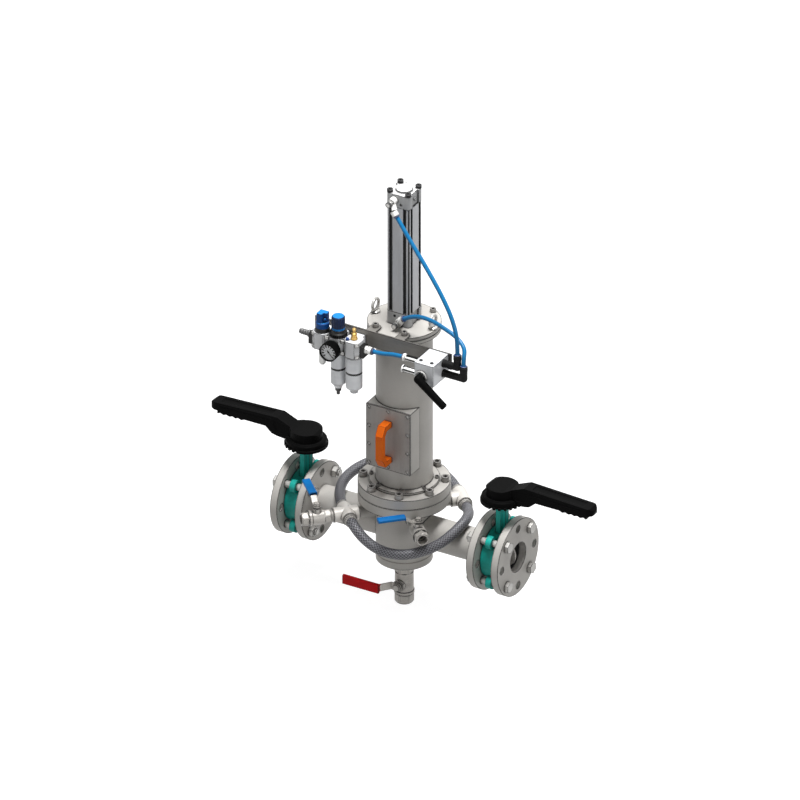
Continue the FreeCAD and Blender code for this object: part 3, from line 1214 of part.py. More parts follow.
save("lower_vessel", lower_vessel())
save("upper_flange", upper_flange())
save("ring_screws", ring_screws())
save("gaskets", gaskets())
save("sleeve_assembly", sleeve_assembly())
save("housing", housing())
save("inspection_cover", inspection_cover())
save("cover_screws", cover_screws())
save("cover_handle", cover_handle())
save("lid", lid())
save("lid_screws", lid_screws())
save("lifting_eyes", lifting_eyes())
save("cylinder_base_cap", cylinder_cap(LID_TOP, True))
save("cylinder_barrel", cylinder_barrel())
save("cylinder_head_cap", cylinder_cap(BARREL_TOP, False))
save("cylinder_screws", cylinder_screws())
save("flow_controls", [flow_control(UPPER_PORT, UPPER_TUBE_WAY, UPPER_TUBE_END),
                       flow_control(LOWER_PORT, LOWER_TUBE_WAY, LOWER_TUBE_END)])
save("piston_rod", piston_rod())
save("magnet_carrier", magnet_carrier())
save("magnet_bars", magnet_bars())

for side, direction in (("inlet", -1), ("outlet", 1)):
    save(side + "_valve_body", valve_body(direction * VALVE_X))
    save(side + "_disc", valve_disc(direction * VALVE_X))
    save(side + "_lever", valve_lever(direction * VALVE_X, direction))
    save(side + "_latch", valve_latch(direction * VALVE_X, direction))
save("valve_liners", [valve_liner(-VALVE_X), valve_liner(VALVE_X)])
save("notch_plates", [notch_plate(-VALVE_X, -1), notch_plate(VALVE_X, 1)])
save("counter_flanges", [counter_flange(-1), counter_flange(1)])
save("flange_bolts", flange_bolts())

SMALL = ball_valve_sizes(False)
LARGE = ball_valve_sizes(True)
FLUSH_PLACE = valve_frame(at(FEED_ANGLE, CROSS_END + SMALL["length"] / 2, BRANCH_Z), radial(FEED_ANGLE), Z)
SAMPLE_PLACE = valve_frame(at(SAMPLE_ANGLE, SAMPLE_BRANCH_END + SMALL["length"] / 2, BRANCH_Z),
                           radial(SAMPLE_ANGLE), Z)
DRAIN_TOP = VESSEL_LOW - DRAIN_NIPPLE_L
DRAIN_PLACE = valve_frame(Vec(0, 0, DRAIN_TOP - LARGE["length"] / 2), -Z, -Y)
for valve, size, place, swing in (("flush", SMALL, FLUSH_PLACE, -90), ("sample", SMALL, SAMPLE_PLACE, -90),
                                  ("drain", LARGE, DRAIN_PLACE, -90)):
    save(valve + "_valve_body", ball_valve_body(size, place))
    save(valve + "_ball", ball_and_stem(size, place))
    save(valve + "_lever", ball_valve_lever(size, place, swing))

save("hose_tees", [hose_fitting(FEED_ANGLE, CROSS_END), hose_fitting(RETURN_ANGLE, None)])
save("front_hose", front_hose())
save("rear_hose", rear_hose())
save("upper_air_tube", upper_air_tube())
save("lower_air_tube", lower_air_tube())
save("supply_air_tube", supply_air_tube())

save("air_bracket", air_bracket())
save("shutoff_valve", shutoff_valve())
save("shutoff_knob", shutoff_knob())
save("filter_regulator", filter_regulator())
save("regulator_knob", regulator_knob())
save("frl_bowls", [bowl(REGULATOR_X, FILTER_BOWL_D, True), bowl(LUBRICATOR_X, BOWL_D, False)])
save("lubricator", lubricator())
save("drip_screw", drip_screw())
save("pressure_gauge", pressure_gauge())
save("gauge_needle", gauge_needle())
save("hand_valve", hand_valve())
save("hand_lever", hand_lever())
save("push_in_fittings", push_in_fittings())
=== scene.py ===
# %% [markdown]
# A magnetic separator sits in a pipeline and catches iron dust from the liquid. A flanged vessel stands across
# the pipe, an air cylinder on top lifts the magnets out of their sleeves, and small valves let the dirt out.
# The solids come from the CAD model. This file gives them their finishes, and adds what Blender does better:
# braided hoses, air tubes, the gauge's dial, weld beads, knurled screws and small fittings.

# %% Load the CAD model
import bpy
import math
from mathutils import Vector, Matrix


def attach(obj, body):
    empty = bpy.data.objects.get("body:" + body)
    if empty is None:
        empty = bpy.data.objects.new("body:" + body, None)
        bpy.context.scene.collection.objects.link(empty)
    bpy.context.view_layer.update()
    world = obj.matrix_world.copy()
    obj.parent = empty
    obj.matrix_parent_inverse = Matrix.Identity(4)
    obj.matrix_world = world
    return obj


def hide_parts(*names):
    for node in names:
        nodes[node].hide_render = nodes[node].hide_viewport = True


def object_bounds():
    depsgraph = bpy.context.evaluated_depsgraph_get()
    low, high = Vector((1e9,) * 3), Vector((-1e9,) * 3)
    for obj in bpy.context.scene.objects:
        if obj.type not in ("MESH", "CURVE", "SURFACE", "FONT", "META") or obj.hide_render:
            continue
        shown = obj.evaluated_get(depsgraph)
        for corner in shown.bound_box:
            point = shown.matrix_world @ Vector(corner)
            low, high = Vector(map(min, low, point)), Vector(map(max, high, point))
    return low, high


scene = bpy.context.scene
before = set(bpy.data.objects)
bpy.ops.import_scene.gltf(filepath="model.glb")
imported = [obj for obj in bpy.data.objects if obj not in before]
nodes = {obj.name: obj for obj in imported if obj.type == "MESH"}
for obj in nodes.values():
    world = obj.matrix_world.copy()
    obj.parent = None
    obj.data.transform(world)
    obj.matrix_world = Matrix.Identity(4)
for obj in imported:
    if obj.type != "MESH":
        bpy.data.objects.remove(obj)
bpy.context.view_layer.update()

# %% [markdown]
# The vessel's axis is 295 mm from the inlet flange's face. Sizes below are written in millimetres about that
# axis, as on the drawing, and this helper turns them into Blender's metres.

# %% Points in millimetres
VESSEL = 0.295


def mm(x, y, z):
    return Vector((VESSEL + x / 1000, y / 1000, z / 1000))


print("vessel's foot", mm(0, 0, -85))

# %% [markdown]
# The picture is a parallel view from the front left and above: 30 degrees round and 30 degrees down. An
# orthographic camera gives that, and its scale is the width of the picture in metres. With a perspective camera,
# even one with a very long lens, the lines would close in on each other.

# %% Camera
PICTURE_WIDTH = 1.796
MIDDLE_LEFT, MIDDLE_UP = 0.00965, 0.279
COSINE, SINE = math.cos(math.radians(30)), 0.5
right = Vector((COSINE, SINE, 0))
forward = Vector((-SINE * COSINE, 0.75, -SINE))
above = right.cross(forward)
aim = Vector((VESSEL, 0, 0)) - right * MIDDLE_LEFT + above * MIDDLE_UP
camera_data = bpy.data.cameras.new("camera")
camera_data.type = "ORTHO"
camera_data.ortho_scale = PICTURE_WIDTH
camera_data.clip_end = 20
camera = bpy.data.objects.new("camera", camera_data)
camera.matrix_world = Matrix.Translation(aim - forward * 5) @ Matrix((right, above, -forward)).transposed().to_4x4()
scene.collection.objects.link(camera)
scene.camera = camera
print("camera at", [round(v, 2) for v in camera.location])

# %% [markdown]
# The hoses and air tubes are set down next, because everything else stands round them. Each one is a smooth
# NURBS curve led by a few control points, with a round bevel for its thickness. Its order is set after its
# points, as it would fall back to straight runs otherwise.

# %% A hose as a smooth curve


def hose(name, points, diameter, sides=6):
    curve = bpy.data.curves.new(name, "CURVE")
    curve.dimensions = "3D"
    spline = curve.splines.new("NURBS")
    spline.points.add(len(points) - 1)
    for knot, place in zip(spline.points, points):
        knot.co = (*mm(*place), 1)
        knot.radius = diameter / 2
    spline.order_u = 3
    spline.use_endpoint_u = True
    spline.resolution_u = 12
    curve.bevel_depth = 1
    curve.bevel_resolution = sides
    curve.use_fill_caps = True
    piece = bpy.data.objects.new(name, curve)
    scene.collection.objects.link(piece)
    return piece


print("ready to lay hoses")

# %% [markdown]
# Two braided hoses carry flushing water from the tee on the right to the tee on the left, one in front of the
# vessel and one behind. Both leave their tees straight for a little way. The front one then sags and the rear one
# rises a little. The tees stand at 45 degrees, so the ends are written as a distance along that slope.

# %% Braided hoses
HOSE = 0.024
SLOPE = math.cos(math.radians(45))
TEE = 134 * SLOPE
TEE_Z = 48
SEAT = 24 * SLOPE
CRIMP = 26 * SLOPE
FRONT_RUN = (24 + 32) * SLOPE
REAR_RUN = (24 + 30) * SLOPE
front_route = [(TEE + SEAT, TEE - SEAT, TEE_Z), (TEE + FRONT_RUN, TEE - FRONT_RUN, TEE_Z), (152, 26, 55),
               (160, -6, 56), (154, -38, 44), (136, -68, 24), (104, -94, 6), (64, -118, -4), (20, -136, 2),
               (-20, -142, 23), (-TEE + FRONT_RUN, -TEE - FRONT_RUN, TEE_Z), (-TEE + SEAT, -TEE - SEAT, TEE_Z)]
rear_route = [(TEE - SEAT, TEE + SEAT, TEE_Z), (TEE - REAR_RUN, TEE + REAR_RUN, TEE_Z), (20, 152, 57),
              (-32, 152.4, 70), (-80, 138, 80), (-122, 106, 83), (-150, 64, 78), (-164, 22, 67), (-158, -18, 56),
              (-TEE - REAR_RUN, -TEE + REAR_RUN, TEE_Z), (-TEE - SEAT, -TEE + SEAT, TEE_Z)]
front_hose = hose("braided_hose_front", front_route, HOSE, 8)
rear_hose = hose("braided_hose_rear", rear_route, HOSE, 8)
print("laid", front_hose.name, "and", rear_hose.name)

# %% [markdown]
# Three blue air tubes meet at the hand valve: one from the top of the cylinder, one from its foot, and a short
# one from the air preparation set. Polyurethane tube is springy, so its curves are long and even.

# %% Air tubes
TUBE = 0.010
upper_route = [(6, -55.2, 837), (25.9, -58.4, 812.1), (62.8, -66, 770.1), (96.3, -76, 738.5), (128.8, -86, 706.1),
               (158.2, -95, 672.7), (182.6, -103, 638.4), (197.9, -109, 604.1), (203, -113, 574), (203, -113, 544)]
lower_route = [(22.6, -53.2, 562.4), (43.3, -55.8, 577.9), (77.7, -61, 591.3), (114.7, -69.1, 594),
               (151.7, -77.9, 588.6), (186, -85, 580), (213.5, -97, 566), (219, -113, 545), (219, -113, 519)]
supply_route = [(-23, -118, 503), (9, -118, 503), (43, -118, 512), (75, -118, 512)]
upper_tube = hose("air_tube_upper", upper_route, TUBE)
lower_tube = hose("air_tube_lower", lower_route, TUBE)
supply_tube = hose("air_tube_supply", supply_route, TUBE)
print("laid", upper_tube.name, lower_tube.name, supply_tube.name)

# The length is read from the curve itself, as a mesh without its bevel.


def curve_length(piece):
    depth = piece.data.bevel_depth
    piece.data.bevel_depth = 0
    line = bpy.data.meshes.new_from_object(piece)
    piece.data.bevel_depth = depth
    length = sum((line.vertices[e.vertices[0]].co - line.vertices[e.vertices[1]].co).length for e in line.edges)
    bpy.data.meshes.remove(line)
    return length


def declare_hose(piece, node, route):
    length = curve_length(piece)
    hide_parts(node)
    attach(piece, "frame")
    tuple(mm(*route[0]))
    print(piece.name, "is", round(length, 3), "m long")


declare_hose(front_hose, "front_hose", front_route)
declare_hose(rear_hose, "rear_hose", rear_route)
declare_hose(upper_tube, "upper_air_tube", upper_route)
declare_hose(lower_tube, "lower_air_tube", lower_route)
declare_hose(supply_tube, "supply_air_tube", supply_route)

# %% [markdown]
# Next come the finishes. Three effects are shared by nearly all of them, so each is built once as a node group
# with its own inputs. The first is the grain: blasted steel, moulded plastic and cast aluminium all have one.
# It gives a mask for the colour and a height for the bump, and reads the object's own coordinates.

# %% Grain shared by the finishes


def new_group(name, inputs, outputs):
    group = bpy.data.node_groups.new(name, "ShaderNodeTree")
    for title, kind, value in inputs:
        socket = group.interface.new_socket(title, in_out="INPUT", socket_type=kind)
        if value is not None:
            socket.default_value = value
    for title, kind in outputs:
        group.interface.new_socket(title, in_out="OUTPUT", socket_type=kind)
    enter, leave = group.nodes.new("NodeGroupInput"), group.nodes.new("NodeGroupOutput")
    return group, group.nodes.new, group.links.new, enter.outputs, leave.inputs


def build_grain():
    group, new, link, enter, leave = new_group(
        "Surface grain", [("Vector", "NodeSocketVector", None), ("Scale", "NodeSocketFloat", 400.0),
                          ("Patch scale", "NodeSocketFloat", 12.0), ("Patch amount", "NodeSocketFloat", 0.5)],
        [("Mask", "NodeSocketFloat"), ("Height", "NodeSocketFloat")])
    fine, patch = new("ShaderNodeTexNoise"), new("ShaderNodeTexNoise")
    fine.inputs["Detail"].default_value = 3
    patch.inputs["Detail"].default_value = 4
    blend = new("ShaderNodeMix")
    link(enter["Vector"], fine.inputs["Vector"])
    link(enter["Vector"], patch.inputs["Vector"])
    link(enter["Scale"], fine.inputs["Scale"])
    link(enter["Patch scale"], patch.inputs["Scale"])
    link(enter["Patch amount"], blend.inputs["Factor"])
    link(fine.outputs["Fac"], blend.inputs["A"])
    link(patch.outputs["Fac"], blend.inputs["B"])
    link(blend.outputs["Result"], leave["Mask"])
    link(fine.outputs["Fac"], leave["Height"])
    return group


grain_group = build_grain()
print("group", grain_group.name, "ready")

# %% [markdown]
# The second effect is painted shade: a dark line painted where two parts meet and in small hollows, where shade falls.
# On a machine full of flanges these lines draw the shape. Ambient occlusion over a few millimetres finds such places.

# %% Painted seam shade shared by the finishes


# Occlusion over a few millimetres becomes a factor that paints shade into seams and hollows.
def build_seam_shade():
    group, new, link, enter, leave = new_group(
        "Painted seam shade", [("Reach", "NodeSocketFloat", 0.006), ("Depth", "NodeSocketFloat", 0.6)],
        [("Shade", "NodeSocketFloat")])
    hollow = new("ShaderNodeAmbientOcclusion")
    hollow.samples = 6
    link(enter["Reach"], hollow.inputs["Distance"])
    spread = new("ShaderNodeMapRange")
    for title, value in (("From Min", 0.42), ("From Max", 0.88)):
        spread.inputs[title].default_value = value
    link(hollow.outputs["AO"], spread.inputs["Value"])
    floor_value = new("ShaderNodeMath")
    floor_value.operation = "SUBTRACT"
    floor_value.inputs[0].default_value = 1.0
    link(enter["Depth"], floor_value.inputs[1])
    link(floor_value.outputs[0], spread.inputs["To Min"])
    link(spread.outputs["Result"], leave["Shade"])
    return group


seam_shade_group = build_seam_shade()
print("group", seam_shade_group.name, "ready")

# %% [markdown]
# The third effect is the edge. No real part has a razor edge: turning and blasting leave a small round. The Bevel node
# rounds the normals without new faces, and where the rounded normal differs from the true one there is an edge, which
# the finish may then paint in a tone of its own. Some finishes paint it bright, as wear; others paint a dark line along
# it, which along hollow edges is painted shade.

# %% Edges shared by the finishes


def build_edges():
    group, new, link, enter, leave = new_group(
        "Soft edges", [("Radius", "NodeSocketFloat", 0.001)],
        [("Normal", "NodeSocketVector"), ("Edge mask", "NodeSocketFloat")])
    rounded, true = new("ShaderNodeBevel"), new("ShaderNodeNewGeometry")
    rounded.samples = 6
    link(enter["Radius"], rounded.inputs["Radius"])
    match = new("ShaderNodeVectorMath")
    match.operation = "DOT_PRODUCT"
    link(rounded.outputs["Normal"], match.inputs[0])
    link(true.outputs["Normal"], match.inputs[1])
    spread = new("ShaderNodeMapRange")
    for title, value in (("From Min", 0.998), ("From Max", 0.93), ("To Min", 0.0), ("To Max", 1.0)):
        spread.inputs[title].default_value = value
    link(match.outputs["Value"], spread.inputs["Value"])
    link(rounded.outputs["Normal"], leave["Normal"])
    link(spread.outputs["Result"], leave["Edge mask"])
    return group


edge_group = build_edges()
print("group", edge_group.name, "ready")

# %% [markdown]
# A material starts as a Principled shader. The grain feeds its colour, its roughness and a faint bump, and painted
# shade darkens it at the seams. Edges have a tone of their own: bright where hands wear them, and on many finishes a
# painted dark line, which along hollow edges is painted shade. Colours are written as they are picked on screen, from 0
# to 255, and turned to the linear values that Blender works with.

# %% A finish with grain, worn and dark-lined edges, and painted seam shade


def screen(red, green, blue):
    values = [v / 255 for v in (red, green, blue)]
    return tuple(v / 12.92 if v <= 0.04045 else ((v + 0.055) / 1.055) ** 2.4 for v in values) + (1.0,)


# The near-black tone of the painted shade in seams and hollows.
SEAM_SHADE_TONE = (0.01, 0.01, 0.01, 1.0)


class Finish:
    def __init__(self, name, dark, light, metallic=0.0, roughness=(0.4, 0.55), scale=500, patch=20, mix=0.5,
                 bump=0.05, depth=0.0001, stretch=(1, 1, 1), edge=0.0016, edge_wear_and_shade=0.3, seam_shade_depth=0.85, shine=0.5,
                 edge_tone=0.75):
        self.material = bpy.data.materials.new(name)
        self.material.use_nodes = True
        self.tree = self.material.node_tree
        self.new, self.link = self.tree.nodes.new, self.tree.links.new
        self.shader = self.tree.nodes["Principled BSDF"]
        self.shader.inputs["Metallic"].default_value = metallic
        self.shader.inputs["Specular IOR Level"].default_value = shine
        self.place = self.new("ShaderNodeTexCoord")
        self.split = None
        mapping = self.new("ShaderNodeMapping")
        mapping.inputs["Scale"].default_value = stretch
        self.link(self.place.outputs["Object"], mapping.inputs["Vector"])
        self.grain = self.group(grain_group, {"Scale": scale, "Patch scale": patch, "Patch amount": mix})
        self.link(mapping.outputs["Vector"], self.grain.inputs["Vector"])
        self.edges = self.group(edge_group, {"Radius": edge})
        self.painted_seam_shade = self.group(seam_shade_group, {"Depth": seam_shade_depth})
        self.edge_wear_and_shade = edge_wear_and_shade
        self.edge_tone = (edge_tone, edge_tone, edge_tone, 1.0)
        self.paint(self.two_tones(dark, light))
        rough = self.steps(self.grain.outputs["Mask"], 0.3, 0.7, *roughness)
        self.link(rough, self.shader.inputs["Roughness"])
        self.bump = self.new("ShaderNodeBump")
        self.bump.inputs["Strength"].default_value = bump
        self.bump.inputs["Distance"].default_value = depth
        self.link(self.grain.outputs["Height"], self.bump.inputs["Height"])
        self.link(self.edges.outputs["Normal"], self.bump.inputs["Normal"])
        self.link(self.bump.outputs["Normal"], self.shader.inputs["Normal"])

    def group(self, tree, values):
        node = self.new("ShaderNodeGroup")
        node.node_tree = tree
        for title, value in values.items():
            node.inputs[title].default_value = value
        return node

    def two_tones(self, dark, light):
        return self.mix(self.steps(self.grain.outputs["Mask"], 0.35, 0.65), screen(*dark), screen(*light))

    def paint(self, colour):
        """Gives the edges of a colour their own tone, paints shade into its seams and hollows, and hands it to the
        shader.
        """
        self.colour = colour
        # The edge mask paints each finish's edge tone: bright as wear on some finishes, a dark line on others, which
        # along hollow edges is painted shade.
        edge_marks = self.math("MULTIPLY", self.edges.outputs["Edge mask"], self.edge_wear_and_shade)
        lit = self.mix(edge_marks, colour, self.edge_tone)
        # Painted shade: seams and hollows are mixed towards the near-black tone.
        self.link(self.mix(self.painted_seam_shade.outputs["Shade"], SEAM_SHADE_TONE, lit), self.shader.inputs["Base Color"])

    def steps(self, source, low, high, first=0.0, last=1.0):
        """Stretches the values from low to high over the span from first to last."""
        node = self.new("ShaderNodeMapRange")
        for title, value in (("From Min", low), ("From Max", high), ("To Min", first), ("To Max", last)):
            node.inputs[title].default_value = value
        self.link(source, node.inputs["Value"])
        return node.outputs["Result"]

    def math(self, operation, *values):
        node = self.new("ShaderNodeMath")
        node.operation = operation
        for socket, value in zip(node.inputs, values):
            if isinstance(value, (int, float)):
                socket.default_value = value
            else:
                self.link(value, socket)
        return node.outputs[0]

    def mix(self, mask, first, second):
        node = self.new("ShaderNodeMix")
        node.data_type = "RGBA"
        for socket, value in ((node.inputs["Factor"], mask), (node.inputs[6], first), (node.inputs[7], second)):
            if isinstance(value, (int, float, tuple)):
                socket.default_value = value
            else:
                self.link(value, socket)
        return node.outputs[2]

    def axis(self, number):
        if self.split is None:
            self.split = self.new("ShaderNodeSeparateXYZ")
            self.link(self.place.outputs["Object"], self.split.inputs[0])
        return self.split.outputs[number]

    def beyond(self, number, edge):
        """A mask that is one where the coordinate is larger than the edge, given in metres."""
        return self.math("GREATER_THAN", self.axis(number), edge)

    def short_of(self, number, edge):
        """The same where the coordinate isn't larger."""
        return self.math("SUBTRACT", 1.0, self.beyond(number, edge))

    def facing_up(self):
        """A mask that is one on level faces that look up."""
        way = self.new("ShaderNodeSeparateXYZ")
        self.link(self.place.outputs["Normal"], way.inputs[0])
        return self.math("GREATER_THAN", way.outputs[2], 0.9)

    def between(self, number, low, high):
        return self.math("MULTIPLY", self.beyond(number, low), self.math("LESS_THAN", self.axis(number), high))

    def near(self, centre, reach, axes=(0, 1, 2)):
        """A mask that is one within a distance of a point."""
        parts = [self.math("POWER", self.math("ABSOLUTE", self.math("SUBTRACT", self.axis(a), centre[a])), 2.0)
                 for a in axes]
        total = parts[0]
        for part in parts[1:]:
            total = self.math("ADD", total, part)
        return self.math("LESS_THAN", total, reach ** 2)

    def zone(self, mask, dark, light, metallic=None):
        """Another colour where the mask is one, and another metallic value there."""
        self.paint(self.mix(mask, self.colour, self.two_tones(dark, light)))
        if metallic is not None:
            socket = self.shader.inputs["Metallic"]
            base = socket.links[0].from_socket if socket.is_linked else socket.default_value
            if isinstance(base, float):
                value = self.math("ADD", self.math("MULTIPLY", mask, metallic - base), base)
            else:
                keep = self.math("MULTIPLY", base, self.math("SUBTRACT", 1.0, mask))
                value = self.math("ADD", self.math("MULTIPLY", mask, metallic), keep)
            self.link(value, socket)


def dress(finish, *names):
    for name in names:
        slots = nodes[name].data.materials
        slots.clear()
        slots.append(finish.material)
    print(finish.material.name, "on", ", ".join(names))


# %% [markdown]
# The vessel, its flanges and the housing are stainless steel, blasted with glass beads to an even satin grey.
# It shines softly, so the metal is rough, with slight clouds in the colour. The tees are the same steel, only
# polished brighter.

# %% Blasted stainless steel
# Edges painted as dark lines; along hollow edges these lines are painted shade.
DARK_EDGE_LINES = {"edge_wear_and_shade": 1.0, "edge_tone": 0.0}
stainless = Finish("Blasted stainless", (172, 169, 164), (196, 193, 188), 0.12, (0.42, 0.55), scale=900, patch=9,
                   mix=0.6, bump=0.12, depth=0.00015, edge=0.004, shine=0.3, **DARK_EDGE_LINES)
dress(stainless, "lower_vessel", "upper_flange", "housing", "lid", "sleeve_assembly", "counter_flanges",
      "magnet_carrier")
tee_steel = Finish("Polished tees", (206, 202, 196), (222, 218, 212), 0.15, (0.3, 0.42), scale=900, patch=9, mix=0.6,
                   bump=0.06, edge=0.003, shine=0.4, **DARK_EDGE_LINES)
dress(tee_steel, "hose_tees")

# %% [markdown]
# Turned parts such as the ball valves and the discs show fine rings from the lathe and mirror more. The cheap
# way is a lower roughness and a grain that is stretched along one axis. Screws and plated fittings follow, each
# kind with a tone of its own.

# %% Machined and plated steel
machined = Finish("Machined steel", (166, 162, 156), (202, 198, 192), 0.25, (0.3, 0.44), scale=300, patch=30,
                  bump=0.06, stretch=(1, 1, 4), edge=0.003, **DARK_EDGE_LINES)
dress(machined, "flush_valve_body", "sample_valve_body", "drain_valve_body", "flush_ball", "sample_ball",
      "drain_ball", "inlet_disc", "outlet_disc")
bolts = Finish("Bright fasteners", (182, 180, 176), (206, 204, 200), 0.25, (0.26, 0.38), patch=60, edge=0.003,
               seam_shade_depth=0.95, **DARK_EDGE_LINES)
dress(bolts, "flange_bolts", "cover_screws", "lifting_eyes")
socket_steel = Finish("Socket screws", (128, 125, 122), (160, 157, 153), 0.25, (0.35, 0.5), patch=60, bump=0.08,
                      edge=0.0024, **DARK_EDGE_LINES)
dress(socket_steel, "ring_screws", "lid_screws", "magnet_bars")
black_screws = Finish("Blackened screws", (14, 14, 15), (30, 30, 32), 0.2, patch=60, bump=0.08, edge_wear_and_shade=0.15, shine=0.25)
dress(black_screws, "cylinder_screws", "gauge_needle")
nickel = Finish("Nickel plated fittings", (224, 223, 220), (242, 241, 238), 0.2, (0.22, 0.34), patch=40, edge=0.0024,
                **DARK_EDGE_LINES)
dress(nickel, "flow_controls")

# %% [markdown]
# The inspection cover and the bracket are darker rolled sheet. Rolling leaves long faint streaks, so the grain
# is stretched along one axis.

# %% Rolled sheet
cover_sheet = Finish("Rolled cover sheet", (144, 141, 138), (162, 159, 155), 0.12, (0.42, 0.52), scale=350, patch=14,
                     mix=0.4, bump=0.08, stretch=(6, 6, 0.6), edge=0.0035, shine=0.3, **DARK_EDGE_LINES)
dress(cover_sheet, "inspection_cover")
bracket_sheet = Finish("Bracket sheet", (112, 109, 105), (130, 127, 122), 0.12, (0.42, 0.52), scale=350, patch=14,
                       mix=0.4, bump=0.08, stretch=(0.6, 6, 6), edge=0.0035, shine=0.3, **DARK_EDGE_LINES)
dress(bracket_sheet, "air_bracket")

# %% [markdown]
# The air cylinder is aluminium: cast caps and an extruded barrel with drawn streaks along it. The sensor grooves are
# painted nearly black as painted shade, so the barrel's material asks how far a point lies from the outer faces. The
# level faces of the upper cap are painted lighter, a painted highlight for the light from above, and the piston's rod
# is hard chrome.

# %% Air cylinder
cap_alloy = Finish("Anodised caps", (150, 151, 152), (170, 171, 172), 0.12, (0.35, 0.5), scale=700, bump=0.1,
                   edge=0.0035, **DARK_EDGE_LINES)
UPPER_CAP = 0.86
# Painted highlight: the level faces that look up on the upper cap are painted a lighter grey.
cap_alloy.zone(cap_alloy.math("MULTIPLY", cap_alloy.facing_up(), cap_alloy.beyond(2, UPPER_CAP)),
               (192, 192, 192), (206, 206, 206), 0.0)
dress(cap_alloy, "cylinder_base_cap", "cylinder_head_cap")
BARREL_FACE = 0.0288
GROOVE_FLOOR = 0.022
# Its edges are painted as dark lines, which along hollow edges are painted shade.
barrel_alloy = Finish("Extruded barrel", (176, 177, 180), (196, 197, 200), 0.12, (0.3, 0.45), scale=260, patch=12,
                      mix=0.4, bump=0.06, stretch=(8, 8, 0.3), edge_wear_and_shade=0.95, edge_tone=0.01)
sideways = barrel_alloy.math("ABSOLUTE", barrel_alloy.math("SUBTRACT", barrel_alloy.axis(0), VESSEL))
outwards = barrel_alloy.math("MAXIMUM", sideways, barrel_alloy.math("ABSOLUTE", barrel_alloy.axis(1)))
# Painted shade: points between the groove floor and the outer faces, inside the sensor grooves, are painted nearly
# black.
groove_shade = barrel_alloy.math("MULTIPLY", barrel_alloy.math("LESS_THAN", outwards, BARREL_FACE),
                            barrel_alloy.math("GREATER_THAN", outwards, GROOVE_FLOOR))
barrel_alloy.zone(groove_shade, (6, 6, 6), (14, 14, 15))
dress(barrel_alloy, "cylinder_barrel")
rod_chrome = Finish("Hard chrome", (196, 198, 202), (210, 212, 216), 1.0, (0.08, 0.16), scale=900, bump=0.02,
                    depth=0.00005)
dress(rod_chrome, "piston_rod")

# %% [markdown]
# The butterfly valves are cast iron under teal epoxy. Epoxy on a casting is not flat: it shows the sand's fine orange
# peel, and pools slightly darker. Black nylon levers have a finer grain from their mould. The tops of the two blue
# knobs are painted a lighter blue, a painted highlight for the light from above, and the regulator's knob has a light
# ring that locks it.

# %% Paint and plastics
# Its edges are painted as dark lines, which along hollow edges are painted shade.
teal = Finish("Teal epoxy", (14, 158, 146), (26, 176, 164), scale=180, patch=25, bump=0.25, depth=0.0003, edge_wear_and_shade=0.9,
              shine=0.3, edge_tone=0.01)
dress(teal, "inlet_valve_body", "outlet_valve_body")
black_plastic = Finish("Black nylon", (3, 3, 3), (10, 10, 10), 0.0, (0.5, 0.62), scale=800, patch=30, bump=0.2,
                       depth=0.00015, edge_wear_and_shade=0.02, shine=0.03, edge_tone=0.06)
dress(black_plastic, "inlet_lever", "outlet_lever", "inlet_latch", "outlet_latch", "notch_plates", "hand_lever",
      "pressure_gauge")
# A lighter blue: the painted highlight on the knobs' tops, and the colour of the regulator's lock ring.
TOP_HIGHLIGHT_AND_RING_BLUE = ((10, 112, 184), (18, 124, 198))
LOCK_RING = (0.5375, 0.5425)


def knob_finish(name, dark, light, edge):
    # The edges are painted as dark lines, which along hollow edges are painted shade.
    finish = Finish(name, dark, light, scale=700, patch=30, bump=0.15, edge=edge, edge_wear_and_shade=0.9, shine=0.25, edge_tone=0.0)
    # Painted highlight: the faces that look up are painted a lighter blue.
    finish.zone(finish.facing_up(), *TOP_HIGHLIGHT_AND_RING_BLUE)
    return finish


dress(knob_finish("Shutoff knob", (4, 62, 128), (10, 74, 142), 0.002), "shutoff_knob")
regulator_blue = knob_finish("Regulator knob", (6, 30, 66), (12, 42, 86), 0.0016)
regulator_blue.zone(regulator_blue.between(2, *LOCK_RING), *TOP_HIGHLIGHT_AND_RING_BLUE)
dress(regulator_blue, "regulator_knob")
orange_plastic = Finish("Orange handle", (226, 98, 8), (240, 114, 18), 0.0, (0.45, 0.58), scale=600, bump=0.15,
                        depth=0.00015, edge=0.002, edge_wear_and_shade=0.9, shine=0.2, edge_tone=0.0)
dress(orange_plastic, "cover_handle")
rubber = Finish("Black rubber", (16, 16, 16), (30, 30, 30), 0.0, (0.6, 0.8), scale=600, bump=0.2, depth=0.0002,
                edge_wear_and_shade=0.05)
dress(rubber, "gaskets", "valve_liners")

# %% [markdown]
# The air preparation set is three small blocks with black end plates and a black bonnet. Each block is one CAD
# node, so its material changes by place: light grey up to the block's top, black above it, and bright at the ends.
# The bowls under the blocks, the hand valve and its fittings follow. Black lines part the rings of the fittings.

# %% Air preparation blocks
BLOCK_TOP = 0.521
ABOVE_BLOCK = BLOCK_TOP + 0.0002
SILENCER_TOP = 0.4798
INLET_END, INLET_PLATE, OUTLET_PLATE, OUTLET_END = (mm(x, 0, 0).x for x in (-174.2, -164.2, -41.9, -31.9))
GREY = ((222, 223, 225), (238, 239, 240))
BLACK = ((4, 4, 4), (12, 12, 12))
DULL = ((96, 96, 96), (132, 132, 132))
BRIGHT = ((222, 222, 220), (242, 242, 240))


def unit_finish(name, *zones):
    # The edges are painted as dark lines, which along hollow edges are painted shade.
    finish = Finish(name, *GREY, 0.05, (0.38, 0.5), scale=600, bump=0.1, edge=0.003, edge_wear_and_shade=0.95, shine=0.3,
                    edge_tone=0.0)
    for number, edge, side, tones, metallic in zones:
        mask = finish.beyond(number, edge) if side > 0 else finish.short_of(number, edge)
        finish.zone(mask, *tones, metallic)
    return finish


